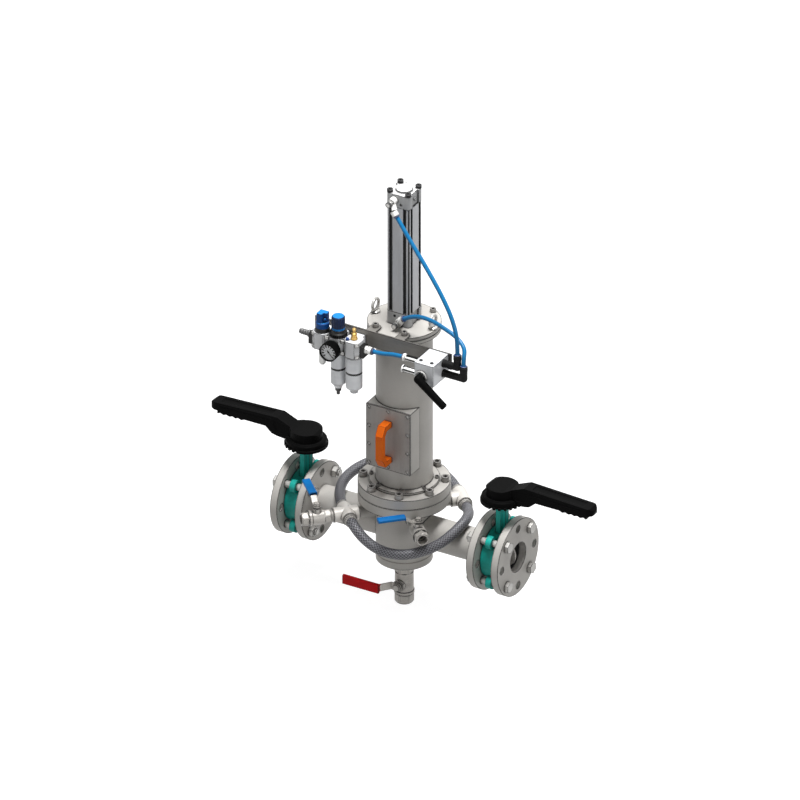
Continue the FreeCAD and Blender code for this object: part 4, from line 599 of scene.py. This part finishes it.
shutoff_paint = unit_finish("Shutoff block", (2, ABOVE_BLOCK, 1, BLACK, 0.0), (0, INLET_PLATE, -1, BLACK, 0.0),
                            (0, INLET_END, -1, DULL, 0.2), (2, SILENCER_TOP, -1, BRIGHT, 0.3))
dress(shutoff_paint, "shutoff_valve")
filter_paint = unit_finish("Filter block", (2, ABOVE_BLOCK, 1, BLACK, 0.0))
dress(filter_paint, "filter_regulator")
lubricator_paint = unit_finish("Lubricator block", (0, OUTLET_PLATE, 1, BLACK, 0.0),
                               (0, OUTLET_END, 1, BRIGHT, 0.3))
FILL_PLUG = mm(-73, -129, 0)
plug = lubricator_paint.near(FILL_PLUG, 0.0042, (0, 1))
lubricator_paint.zone(lubricator_paint.math("MULTIPLY", plug, lubricator_paint.beyond(2, BLOCK_TOP)),
                      (10, 60, 130), (20, 80, 160), 0.0)
dress(lubricator_paint, "lubricator")
bowl_alloy = Finish("Bright bowls", (226, 228, 231), (240, 242, 244), 0.08, (0.3, 0.42), stretch=(1, 1, 6),
                    edge=0.003, **DARK_EDGE_LINES)
BOWL_SEAM, BOWL_TIP = 438, 0.3865
bowl_alloy.zone(bowl_alloy.near(mm(0, 0, BOWL_SEAM), 0.0021, (2,)), *BLACK, 0.0)
bowl_alloy.zone(bowl_alloy.short_of(2, BOWL_TIP), *BLACK, 0.0)
dress(bowl_alloy, "frl_bowls")
valve_alloy = Finish("Hand valve block", (214, 216, 219), (230, 232, 235), 0.08, (0.28, 0.4), edge=0.0035,
                     **DARK_EDGE_LINES)
dress(valve_alloy, "hand_valve")
brass = Finish("Brass", (188, 150, 76), (212, 176, 104), 0.8, (0.25, 0.38), patch=40)
dress(brass, "drip_screw")
fitting_paint = Finish("Push-in fittings", *BLACK, 0.0, (0.5, 0.6), scale=700, patch=30, bump=0.1, edge_wear_and_shade=0.03,
                       shine=0.15)
RING_END, SLEEVE_START, SLEEVE_END = (mm(x, 0, 0).x for x in (60, 74, 118))
RIB = 0.0035
fitting_paint.zone(fitting_paint.between(0, RING_END, SLEEVE_END), *BRIGHT, 0.3)
lines = fitting_paint.math("FLOORED_MODULO", fitting_paint.axis(2), 2 * RIB)
fitting_paint.zone(fitting_paint.math("MULTIPLY", fitting_paint.between(0, SLEEVE_START, SLEEVE_END),
                                      fitting_paint.math("LESS_THAN", lines, RIB)), *BLACK, 0.0)
dress(fitting_paint, "push_in_fittings")

# %% [markdown]
# A ball valve's lever is a steel strip dipped in soft plastic. Strip and grip are one CAD node, so the material
# tells them apart by the distance from the valve's stem. Near the stem it is bare steel.

# %% Dipped levers


LEVER_BLUE = ((4, 104, 176), (10, 118, 192))
LEVER_RED = ((206, 0, 8), (224, 4, 14))


def dipped(name, lever, tones, stem, bare, axes):
    # The edges are painted as dark lines, which along hollow edges are painted shade.
    finish = Finish(name, *tones, 0.0, (0.4, 0.5), patch=40, depth=0.0002, edge_wear_and_shade=0.8, shine=0.2, edge_tone=0.01)
    finish.zone(finish.near(stem, bare, axes), (176, 172, 166), (206, 202, 196), 0.4)
    dress(finish, lever)


dipped("Blue dipped flush lever", "flush_lever", LEVER_BLUE, mm(-143.5, -143.5, TEE_Z), 0.031, (0, 1))
dipped("Blue dipped sample lever", "sample_lever", LEVER_BLUE, mm(87, -87, TEE_Z), 0.031, (0, 1))
dipped("Red dipped lever", "drain_lever", LEVER_RED, mm(0, 0, -147), 0.032, (0, 2))

# %% [markdown]
# The braid is what one sees of the hoses: flat bundles of steel wire, crossed over and under. A curve's own UV map runs
# along it and round it, so two sets of slanted waves on it draw the crossing bundles, and faster waves draw the single
# wires in them. The same height makes the bump, and paints the low places between bundles and wires near black, as
# painted shade.

# %% Braid and tube
tube_blue = Finish("Blue air tube", (4, 98, 148), (10, 110, 162), 0.0, (0.3, 0.4), bump=0.02, edge_wear_and_shade=0.0, seam_shade_depth=0.3,
                   shine=0.3)
for piece in (upper_tube, lower_tube, supply_tube):
    piece.data.materials.append(tube_blue.material)


def braid(name, length):
    """Ten bundles each way round the hose, crossing over and under, with single wires drawn in them."""
    finish = Finish(name, (96, 96, 104), (150, 150, 158), 0.15, scale=900, patch=60, bump=0.1, edge_wear_and_shade=0.0, seam_shade_depth=0.6)
    uv = finish.new("ShaderNodeSeparateXYZ")
    finish.link(finish.place.outputs["UV"], uv.inputs[0])
    bundles = 10
    wires = 3
    along = finish.math("MULTIPLY", uv.outputs[0], length / (math.pi * HOSE))
    up = finish.math("MULTIPLY", finish.math("ADD", along, uv.outputs[1]), bundles)
    down = finish.math("MULTIPLY", finish.math("SUBTRACT", along, uv.outputs[1]), bundles)

    def bundle(place):
        """Height across one bundle: round from side to side, with a fine wave for each wire."""
        arch = finish.math("ABSOLUTE", finish.math("SINE", finish.math("MULTIPLY", place, math.pi)))
        wire = finish.math("SINE", finish.math("MULTIPLY", place, 2 * math.pi * wires))
        return finish.math("MULTIPLY", arch, finish.math("ADD", finish.math("MULTIPLY", wire, 0.25), 0.75))

    cells = finish.math("ADD", finish.math("FLOOR", up), finish.math("FLOOR", down))
    over = finish.math("GREATER_THAN", finish.math("FLOORED_MODULO", cells, 2.0), 0.5)
    blend = finish.new("ShaderNodeMix")
    finish.link(over, blend.inputs["Factor"])
    finish.link(bundle(up), blend.inputs["A"])
    finish.link(bundle(down), blend.inputs["B"])
    woven = blend.outputs["Result"]
    # Painted shade: the low places of the weave are painted near black.
    finish.paint(finish.mix(finish.steps(woven, 0.25, 0.75), screen(4, 4, 6), screen(132, 132, 138)))
    finish.bump.inputs["Strength"].default_value = 0.5
    finish.bump.inputs["Distance"].default_value = 0.0006
    finish.link(woven, finish.bump.inputs["Height"])
    return finish.material


front_hose.data.materials.append(braid("Braid of the front hose", curve_length(front_hose)))
rear_hose.data.materials.append(braid("Braid of the rear hose", curve_length(rear_hose)))
print("dressed", len(nodes), "nodes")


# %% [markdown]
# The small round parts that the CAD model leaves out, such as collars, nuts and knurled screws, all come off a
# lathe. Here they start as a filled circle, and each step of the outline is an extrude and a scale. With six or
# eight sides the same helper makes a nut.

# %% A turned piece


def take(*pieces):
    """Selects these pieces alone and makes the first one active."""
    bpy.ops.object.select_all(action="DESELECT")
    for piece in pieces:
        piece.select_set(True)
    if pieces:
        bpy.context.view_layer.objects.active = pieces[0]


def apply_all():
    bpy.ops.object.transform_apply(location=True, rotation=True, scale=True)


def mode(name):
    bpy.ops.object.mode_set(mode=name)


def turned(name, outline, sides=48):
    """Outline: radius and height of each step in millimetres, from the foot upwards along +Z."""
    take()
    radius, height = outline[0]
    bpy.ops.mesh.primitive_circle_add(vertices=sides, radius=radius / 1000, fill_type="NGON",
                                      location=(0, 0, height / 1000))
    piece = bpy.context.object
    piece.name = name
    apply_all()
    mode("EDIT")
    bpy.ops.mesh.select_mode(type="FACE")
    bpy.ops.mesh.select_all(action="SELECT")
    for (r0, h0), (r1, h1) in zip(outline, outline[1:]):
        bpy.ops.mesh.extrude_region_move(TRANSFORM_OT_translate={"value": (0, 0, (h1 - h0) / 1000)})
        if r1 != r0:
            bpy.ops.transform.resize(value=(r1 / r0, r1 / r0, 1), center_override=(0, 0, h1 / 1000))
    bpy.ops.mesh.select_all(action="SELECT")
    bpy.ops.mesh.remove_doubles(threshold=0.000001)
    bpy.ops.mesh.normals_make_consistent(inside=False)
    mode("OBJECT")
    return piece


print("lathe ready")

# %% [markdown]
# A knurl or a rib is every second side face, inset and pushed in. A test on centre and normal picks the faces.

# %% Ribs


def pick_faces(piece, wanted):
    """Selects the faces that pass the test and stays in edit mode."""
    bpy.context.view_layer.objects.active = piece
    mode("EDIT")
    bpy.ops.mesh.select_mode(type="FACE")
    bpy.ops.mesh.select_all(action="DESELECT")
    mode("OBJECT")
    for face in piece.data.polygons:
        face.select = wanted(face.center, face.normal)
    mode("EDIT")


def rib(piece, sides, low, high, depth):
    """Pushes every second side face between two heights inwards, which leaves ribs between."""
    def wanted(centre, normal):
        turn = math.atan2(centre.y, centre.x) / (2 * math.pi) * sides
        return abs(normal.z) < 0.1 and low < centre.z * 1000 < high and round(turn - 0.5) % 2 == 0
    pick_faces(piece, wanted)
    bpy.ops.mesh.inset(thickness=0.00015, depth=-depth / 1000, use_individual=True)
    mode("OBJECT")


print("ribs ready")

# %% [markdown]
# A small part is modelled once on the ground, copied to its places and joined to one piece. The copies' places go into
# the mesh, so the piece itself stays at the origin. Then it gets its finish and hangs under the frame's empty.

# %% Copies at their places
FRONT, UP = (0, -1, 0), (0, 0, 1)


def stand(piece, place, way):
    """Turns the piece's +Z to the given way and leaves its place in its mesh."""
    take(piece)
    piece.location = place
    piece.rotation_euler = Vector(way).to_track_quat("Z", "Y").to_euler()
    apply_all()


def copy_of(piece, name):
    take(piece)
    bpy.ops.object.duplicate(linked=False)
    bpy.context.object.name = name
    return bpy.context.object


def complete(piece, finish, angle=35):
    take(piece)
    bpy.ops.object.shade_smooth_by_angle(angle=math.radians(angle))
    piece.data.materials.clear()
    piece.data.materials.append(finish.material if isinstance(finish, Finish) else finish)
    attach(piece, "frame")
    return piece


def set_of(name, pattern, places, finish, angle=35):
    """Copies of one modelled pattern at several places, joined to one piece."""
    parts = []
    for number, (place, way) in enumerate(places):
        part = copy_of(pattern, f"{name}_{number}")
        stand(part, mm(*place), way)
        parts.append(part)
    bpy.data.objects.remove(pattern)
    take(*parts)
    if len(parts) > 1:
        bpy.ops.object.join()
    parts[0].name = name
    print(name, "has", len(parts), "parts and", len(parts[0].data.polygons), "faces")
    return complete(parts[0], finish, angle)


print("ready to place copies")

# %% [markdown]
# Each braided hose is crimped in a short steel sleeve before it enters its tee. The sleeve has two rolled
# grooves that bite into the braid.

# %% Crimp sleeves
sleeve = turned("sleeve", [(14.2, 0), (14.6, 0.6), (14.6, 3), (13.6, 3.8), (13.6, 4.8), (14.6, 5.6), (14.6, 8.4),
                           (13.6, 9.2), (13.6, 10.2), (14.4, 11), (14.4, 13), (13.4, 13.6), (12.3, 13.6)])
ends = [((side * TEE + way * CRIMP, side * TEE - way * CRIMP, TEE_Z), (way, -way, 0))
        for side in (1, -1) for way in (1, -1)]
set_of("crimp_sleeves", sleeve, ends, tee_steel)

# %% [markdown]
# A push-in fitting holds its tube with a small collet ring that is pressed in to let the tube go. On this
# machine the rings are dark blue.

# %% Collet rings
collet = turned("collet", [(6.0, -1), (6.0, 1.2), (7.4, 1.6), (7.4, 3), (6.4, 3.6), (5.1, 3.6)])
collets = [((11, -56, 830.8), (0.62, -0.1, -0.78)), ((29, -54, 567.2), (0.8, -0.1, 0.6)), ((-15, -118, 503), (1, 0, 0)),
           ((67, -118, 512), (-1, 0, 0)), ((203, -113, 552), UP), ((219, -113, 527), UP)]
collet_blue = Finish("Dark blue collets", (8, 44, 96), (16, 60, 124), 0.0, (0.35, 0.5), scale=700, patch=30, bump=0.1)
set_of("collet_rings", collet, collets, collet_blue)

# %% [markdown]
# The throttle screw of each flow control is knurled so that it can be turned by hand, and has a lock nut under
# it.

# %% Knurled throttle screws
knurl = turned("knurl", [(6.0, 0), (6.8, 0.5), (6.8, 6), (6.0, 6.8), (3.0, 6.8), (3.0, 5.6)], 40)
rib(knurl, 40, 1, 5.5, 0.5)
set_of("throttle_screws", knurl, [((-8, -54, 853.8), FRONT), ((8, -54, 544.2), FRONT)], black_screws)
lock_nut = turned("lock_nut", [(7.2, 0), (8.0, 0.5), (8.0, 3), (7.2, 3.5), (5.7, 3.5)], 6)
set_of("throttle_nuts", lock_nut, [((-8, -47.2, 853.8), FRONT), ((8, -47.2, 544.2), FRONT)], nickel)

# %% [markdown]
# The hand lever's hub is held by a bright nut with eight flats, which one sees all round the black lever. Two
# small black screws sit on top of the valve's block.

# %% Hub nut of the hand valve
hub_nut = turned("hub_nut", [(14.8, 0), (15.6, 0.6), (15.6, 4.2), (14.6, 5.0), (13.1, 5.0)], 8)
set_of("hand_hub_nut", hub_nut, [((136, -159, 502), FRONT)], nickel)
block_screw = turned("block_screw", [(2.4, -2), (4.2, 0), (4.2, 1.6), (3.8, 2.0), (2.2, 2.0), (2.0, 0.6)], 24)
set_of("hand_block_screws", block_screw, [((155, -145, 533.9), UP), ((127, -145, 533.9), UP)], black_screws)

# %% [markdown]
# Small bright clamps join the blocks of the air preparation set. Each one is a short key that is pushed in at
# the top or the bottom of a joint. It starts as a cube, gets a shallow pocket in its face by an inset and an
# extrude, and ends with bevelled edges.

# %% Clamp keys


def bar(name, size, place=(0, 0, 0)):
    take()
    bpy.ops.mesh.primitive_cube_add(size=1, location=(0, 0, 0))
    piece = bpy.context.object
    piece.name = name
    piece.scale = size
    piece.location = place
    apply_all()
    return piece


def key_block(name, width, depth, height):
    piece = bar(name, (width / 1000, depth / 1000, height / 1000))
    pick_faces(piece, lambda centre, normal: normal.z > 0.9)
    bpy.ops.mesh.inset(thickness=0.0008, depth=0)
    bpy.ops.mesh.extrude_region_move(TRANSFORM_OT_translate={"value": (0, 0, -0.0007)})
    mode("OBJECT")
    bevel = piece.modifiers.new("edges", "BEVEL")
    bevel.width = 0.0004
    bevel.segments = 2
    bpy.ops.object.modifier_apply(modifier="edges")
    return piece


keys = []
for joint, front, way in ((-160, -134, (-1, -1, 0)), (-123.5, -135, FRONT), (-82.5, -135, FRONT),
                          (-46, -134, (1, -1, 0))):
    for height in (515.5, 485.5):
        keys.append(((joint, front, height), way))
set_of("clamp_keys", key_block("key", 10, 8, 4), keys, nickel)

# %% [markdown]
# The bonnet of the regulator is a black moulding with ribs round its foot, so that it can be unscrewed with a
# strap. The silencer and the outlet have hexagons, and each bowl hangs in a collar.

# %% Ribs of the bonnet and small hexagons
bonnet = turned("bonnet", [(20.1, 0), (20.7, 0.5), (20.7, 5.3), (20.1, 5.8), (19.2, 5.8)], 48)
rib(bonnet, 48, 1, 5, 0.9)
set_of("bonnet_ribs", bonnet, [((-103, -118, 523.1), UP)], black_plastic)
foot_nut = turned("foot_nut", [(9.0, 0), (9.6, 0.6), (9.6, 5.4), (9.0, 6.0), (8.1, 6.0)], 6)
set_of("silencer_nut", foot_nut, [((-144, -118, 479.9), (0, 0, -1))], nickel)
outlet_nut = turned("outlet_nut", [(9.6, 0), (10.2, 0.6), (10.2, 7.4), (9.6, 8.0), (9.1, 8.0)], 6)
set_of("outlet_nut", outlet_nut, [((-31.9, -118, 503), (1, 0, 0))], nickel)
for name, radius, x in (("filter_collar", 17.5, -103), ("lubricator_collar", 19.5, -62)):
    collar = turned("collar", [(radius + 0.3, 0), (radius + 0.9, 0.4), (radius + 0.9, 2.6), (radius + 0.3, 3.0),
                               (radius - 0.2, 3.0)], 48)
    set_of(name, collar, [((x, -118, 476.4), UP)], bowl_alloy)

# %% [markdown]
# The pressure gauge has a white dial with a scale and plain numbers behind a glass. The dial is a thin disc
# with a raised rim. One long and one short mark are modelled as small bars, then copied round the scale. The
# numbers are text that is made a mesh before it takes its place. The print is thin, so that the needle clears it.

# %% Gauge dial
GAUGE = (-103, -162, 497)
PRINT = 0.00004
PRINT_OUT, GLASS_OUT = 0.06, 2.2
dial_white = Finish("Gauge dial", (244, 245, 246), (250, 251, 252), 0.0, (0.45, 0.55), scale=900, bump=0.02, edge_wear_and_shade=0.0,
                    seam_shade_depth=0.0)
dial_black = Finish("Gauge print", (12, 12, 12), (20, 20, 20), 0.0, (0.5, 0.6), scale=900, bump=0.02, edge_wear_and_shade=0.0)
dial = turned("dial", [(19.6, 0), (19.6, 0.25), (18.9, 0.25), (18.7, 0.04), (1.3, 0.04)], 64)
set_of("gauge_dial", dial, [(GAUGE, FRONT)], dial_white)
SCALE_START, SCALE_SWEEP = 225, 270
STEPS = 20
NUMBERS_RADIUS, NUMBERS_HEIGHT = 0.0088, 0.0036


def mark(name, inner, outer, width):
    piece = bar(name, ((outer - inner) / 1000, width / 1000, PRINT), ((outer + inner) / 2000, 0, 0))
    pick_faces(piece, lambda centre, normal: normal.x > 0.9)
    bpy.ops.transform.resize(value=(1, 1.35, 1))
    mode("OBJECT")
    return piece


def round_dial(piece, degrees):
    """Turns a mark on the XY plane round the dial and lays it on the gauge's face."""
    take(piece)
    piece.rotation_euler = (0, 0, math.radians(degrees))
    apply_all()
    piece.rotation_euler = (math.radians(90), 0, 0)
    piece.location = mm(GAUGE[0], GAUGE[1] - PRINT_OUT, GAUGE[2])
    apply_all()


marks = []
long_mark = mark("long_mark", 11.6, 18.4, 2.8)
short_mark = mark("short_mark", 15.0, 18.4, 1.0)
for step in range(STEPS + 1):
    pattern = long_mark if step % 2 == 0 else short_mark
    one = copy_of(pattern, f"mark_{step}")
    round_dial(one, SCALE_START - SCALE_SWEEP * step / STEPS)
    marks.append(one)
bpy.data.objects.remove(long_mark)
bpy.data.objects.remove(short_mark)
for step in range(6):
    take()
    bpy.ops.object.text_add(location=(0, 0, 0))
    number = bpy.context.object
    number.data.body = str(2 * step)
    number.data.align_x = number.data.align_y = "CENTER"
    number.data.size = NUMBERS_HEIGHT
    number.data.extrude = PRINT / 2
    bpy.ops.object.convert(target="MESH")
    number = bpy.context.object
    turn = math.radians(SCALE_START - SCALE_SWEEP * step / 5)
    number.location = (NUMBERS_RADIUS * math.cos(turn), NUMBERS_RADIUS * math.sin(turn), 0)
    apply_all()
    round_dial(number, 0)
    marks.append(number)
take(*marks)
bpy.ops.object.join()
marks[0].name = "gauge_scale"
complete(marks[0], dial_black)
print("scale has", len(marks[0].data.polygons), "faces")

# %% [markdown]
# The gauge's glass is a shallow clear dome. It is nearly transparent by its alpha, so that the light reaches
# the dial under it, and keeps a low roughness and a faint grain for its reflections.

# %% Gauge glass
glass = bpy.data.materials.new("Gauge glass")
glass.use_nodes = True
glass_tree = glass.node_tree
glass_shader = glass_tree.nodes["Principled BSDF"]
glass_shader.inputs["Base Color"].default_value = (0.97, 0.98, 0.98, 1)
glass_shader.inputs["Roughness"].default_value = 0.03
glass_shader.inputs["Alpha"].default_value = 0.03
haze = glass_tree.nodes.new("ShaderNodeTexNoise")
haze.inputs["Scale"].default_value = 500
haze_bump = glass_tree.nodes.new("ShaderNodeBump")
haze_bump.inputs["Strength"].default_value = 0.01
glass_tree.links.new(haze.outputs["Fac"], haze_bump.inputs["Height"])
glass_tree.links.new(haze_bump.outputs["Normal"], glass_shader.inputs["Normal"])
lens = turned("lens", [(19.4, 0), (19.4, 0.5), (17, 1.0), (12, 1.4), (6, 1.6), (0.8, 1.65)], 64)
set_of("gauge_glass", lens, [((GAUGE[0], GAUGE[1] - GLASS_OUT, GAUGE[2]), FRONT)], glass)

# %% [markdown]
# The pipe, the flanges and the vessel's foot are joined by fillet welds. A hand weld is a row of small overlapping
# ripples, so the bead is a torus on which every second ring of faces is pulled in a little.

# %% Weld beads


def bead(name, radius, thickness, ripples):
    take()
    bpy.ops.mesh.primitive_torus_add(major_radius=radius / 1000, minor_radius=thickness / 1000,
                                     major_segments=ripples * 2, minor_segments=8)
    piece = bpy.context.object
    piece.name = name

    def wanted(centre, normal):
        turn = math.atan2(centre.y, centre.x) / (2 * math.pi) * ripples * 2
        return round(turn - 0.5) % 2 == 0
    pick_faces(piece, wanted)
    bpy.ops.transform.shrink_fatten(value=-0.00035)
    mode("OBJECT")
    return piece


weld_steel = Finish("Weld bead", (128, 124, 118), (160, 155, 147), 0.25, (0.35, 0.5), scale=300, patch=80, bump=0.2,
                    depth=0.0003)
pipe_beads = [((side * 213, 0, 0), (1, 0, 0)) for side in (-1, 1)]
set_of("pipe_welds", bead("bead", 38.4, 2.0, 72), pipe_beads, weld_steel, 60)
for name, radius, thickness, height in (("shell_weld", 64.8, 2.0, 71.2), ("foot_weld", 64.4, 1.6, -65)):
    set_of(name, bead("bead", radius, thickness, 120), [((0, 0, height), UP)], weld_steel, 60)


# %% [markdown]
# Last comes the room. The floor is pale, shows white to the camera and keeps the shadow. Most of its white is an
# emission that only the camera, mirrors and glass see, so it doesn't light the object from below.

# %% Floor
FLOOR_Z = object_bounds()[0][2] - 0.001
FLOOR_GREY, FLOOR_GLOW = 0.3, 0.92
take()
bpy.ops.mesh.primitive_plane_add(size=14, location=(VESSEL, 0, FLOOR_Z))
floor = bpy.context.object
floor.name = "floor"


def seen_directly(tree):
    """One for rays from the camera, from a mirror or through glass."""
    path = tree.nodes.new("ShaderNodeLightPath")
    total = path.outputs["Is Camera Ray"]
    for title in ("Is Glossy Ray", "Is Transmission Ray"):
        node = tree.nodes.new("ShaderNodeMath")
        node.operation = "MAXIMUM"
        tree.links.new(total, node.inputs[0])
        tree.links.new(path.outputs[title], node.inputs[1])
        total = node.outputs[0]
    return total


floor_paint = bpy.data.materials.new("Pale floor")
floor_paint.use_nodes = True
floor_tree = floor_paint.node_tree
link = floor_tree.links.new
floor_shader = floor_tree.nodes["Principled BSDF"]
floor_shader.inputs["Base Color"].default_value = (FLOOR_GREY, FLOOR_GREY, FLOOR_GREY, 1)
floor_shader.inputs["Roughness"].default_value = 0.9
floor_shader.inputs["Specular IOR Level"].default_value = 0.1
shown = floor_tree.nodes.new("ShaderNodeEmission")
gain = floor_tree.nodes.new("ShaderNodeMath")
gain.operation = "MULTIPLY"
gain.inputs[1].default_value = FLOOR_GLOW
link(seen_directly(floor_tree), gain.inputs[0])
link(gain.outputs[0], shown.inputs["Strength"])
both = floor_tree.nodes.new("ShaderNodeAddShader")
link(floor_shader.outputs[0], both.inputs[0])
link(shown.outputs[0], both.inputs[1])
link(both.outputs[0], floor_tree.nodes["Material Output"].inputs["Surface"])
floor.data.materials.append(floor_paint)
print("floor at", round(FLOOR_Z, 3))

# %% [markdown]
# The lamps are soft. The strongest light falls from above, as in the picture. The background is white to the
# camera and weak as a light, by the same trick as the floor.

# %% Lamps and background


def lamp(name, place, size, power):
    data = bpy.data.lights.new(name, "AREA")
    data.shape = "DISK"
    data.size = size
    data.energy = power
    light = bpy.data.objects.new(name, data)
    light.location = place
    light.rotation_euler = (Vector((VESSEL, 0, 0.3)) - Vector(place)).to_track_quat("-Z", "Y").to_euler()
    scene.collection.objects.link(light)


lamp("above", (0.6, -0.1, 3.8), 1.4, 215)
lamp("right", (3.2, -1.2, 1.6), 1.2, 14)
lamp("left", (-2.4, -3.0, 1.4), 2.4, 14)
lamp("behind", (0.2, 3.0, 1.8), 2.0, 12)
world = bpy.data.worlds.new("room")
world.use_nodes = True
world_tree = world.node_tree
link = world_tree.links.new
plain = world_tree.nodes["Background"]
plain.inputs["Color"].default_value = (1, 1, 1, 1)
plain.inputs["Strength"].default_value = 0.12
white = world_tree.nodes.new("ShaderNodeBackground")
white.inputs["Color"].default_value = (1, 1, 1, 1)
white.inputs["Strength"].default_value = 1.0
choose = world_tree.nodes.new("ShaderNodeMixShader")
link(seen_directly(world_tree), choose.inputs[0])
link(plain.outputs[0], choose.inputs[1])
link(white.outputs[0], choose.inputs[2])
link(choose.outputs[0], world_tree.nodes["World Output"].inputs["Surface"])
scene.world = world
scene.view_settings.view_transform = "Standard"
print("lamps", [light.name for light in bpy.data.lights])

# %% Update the view layer
bpy.context.view_layer.update()
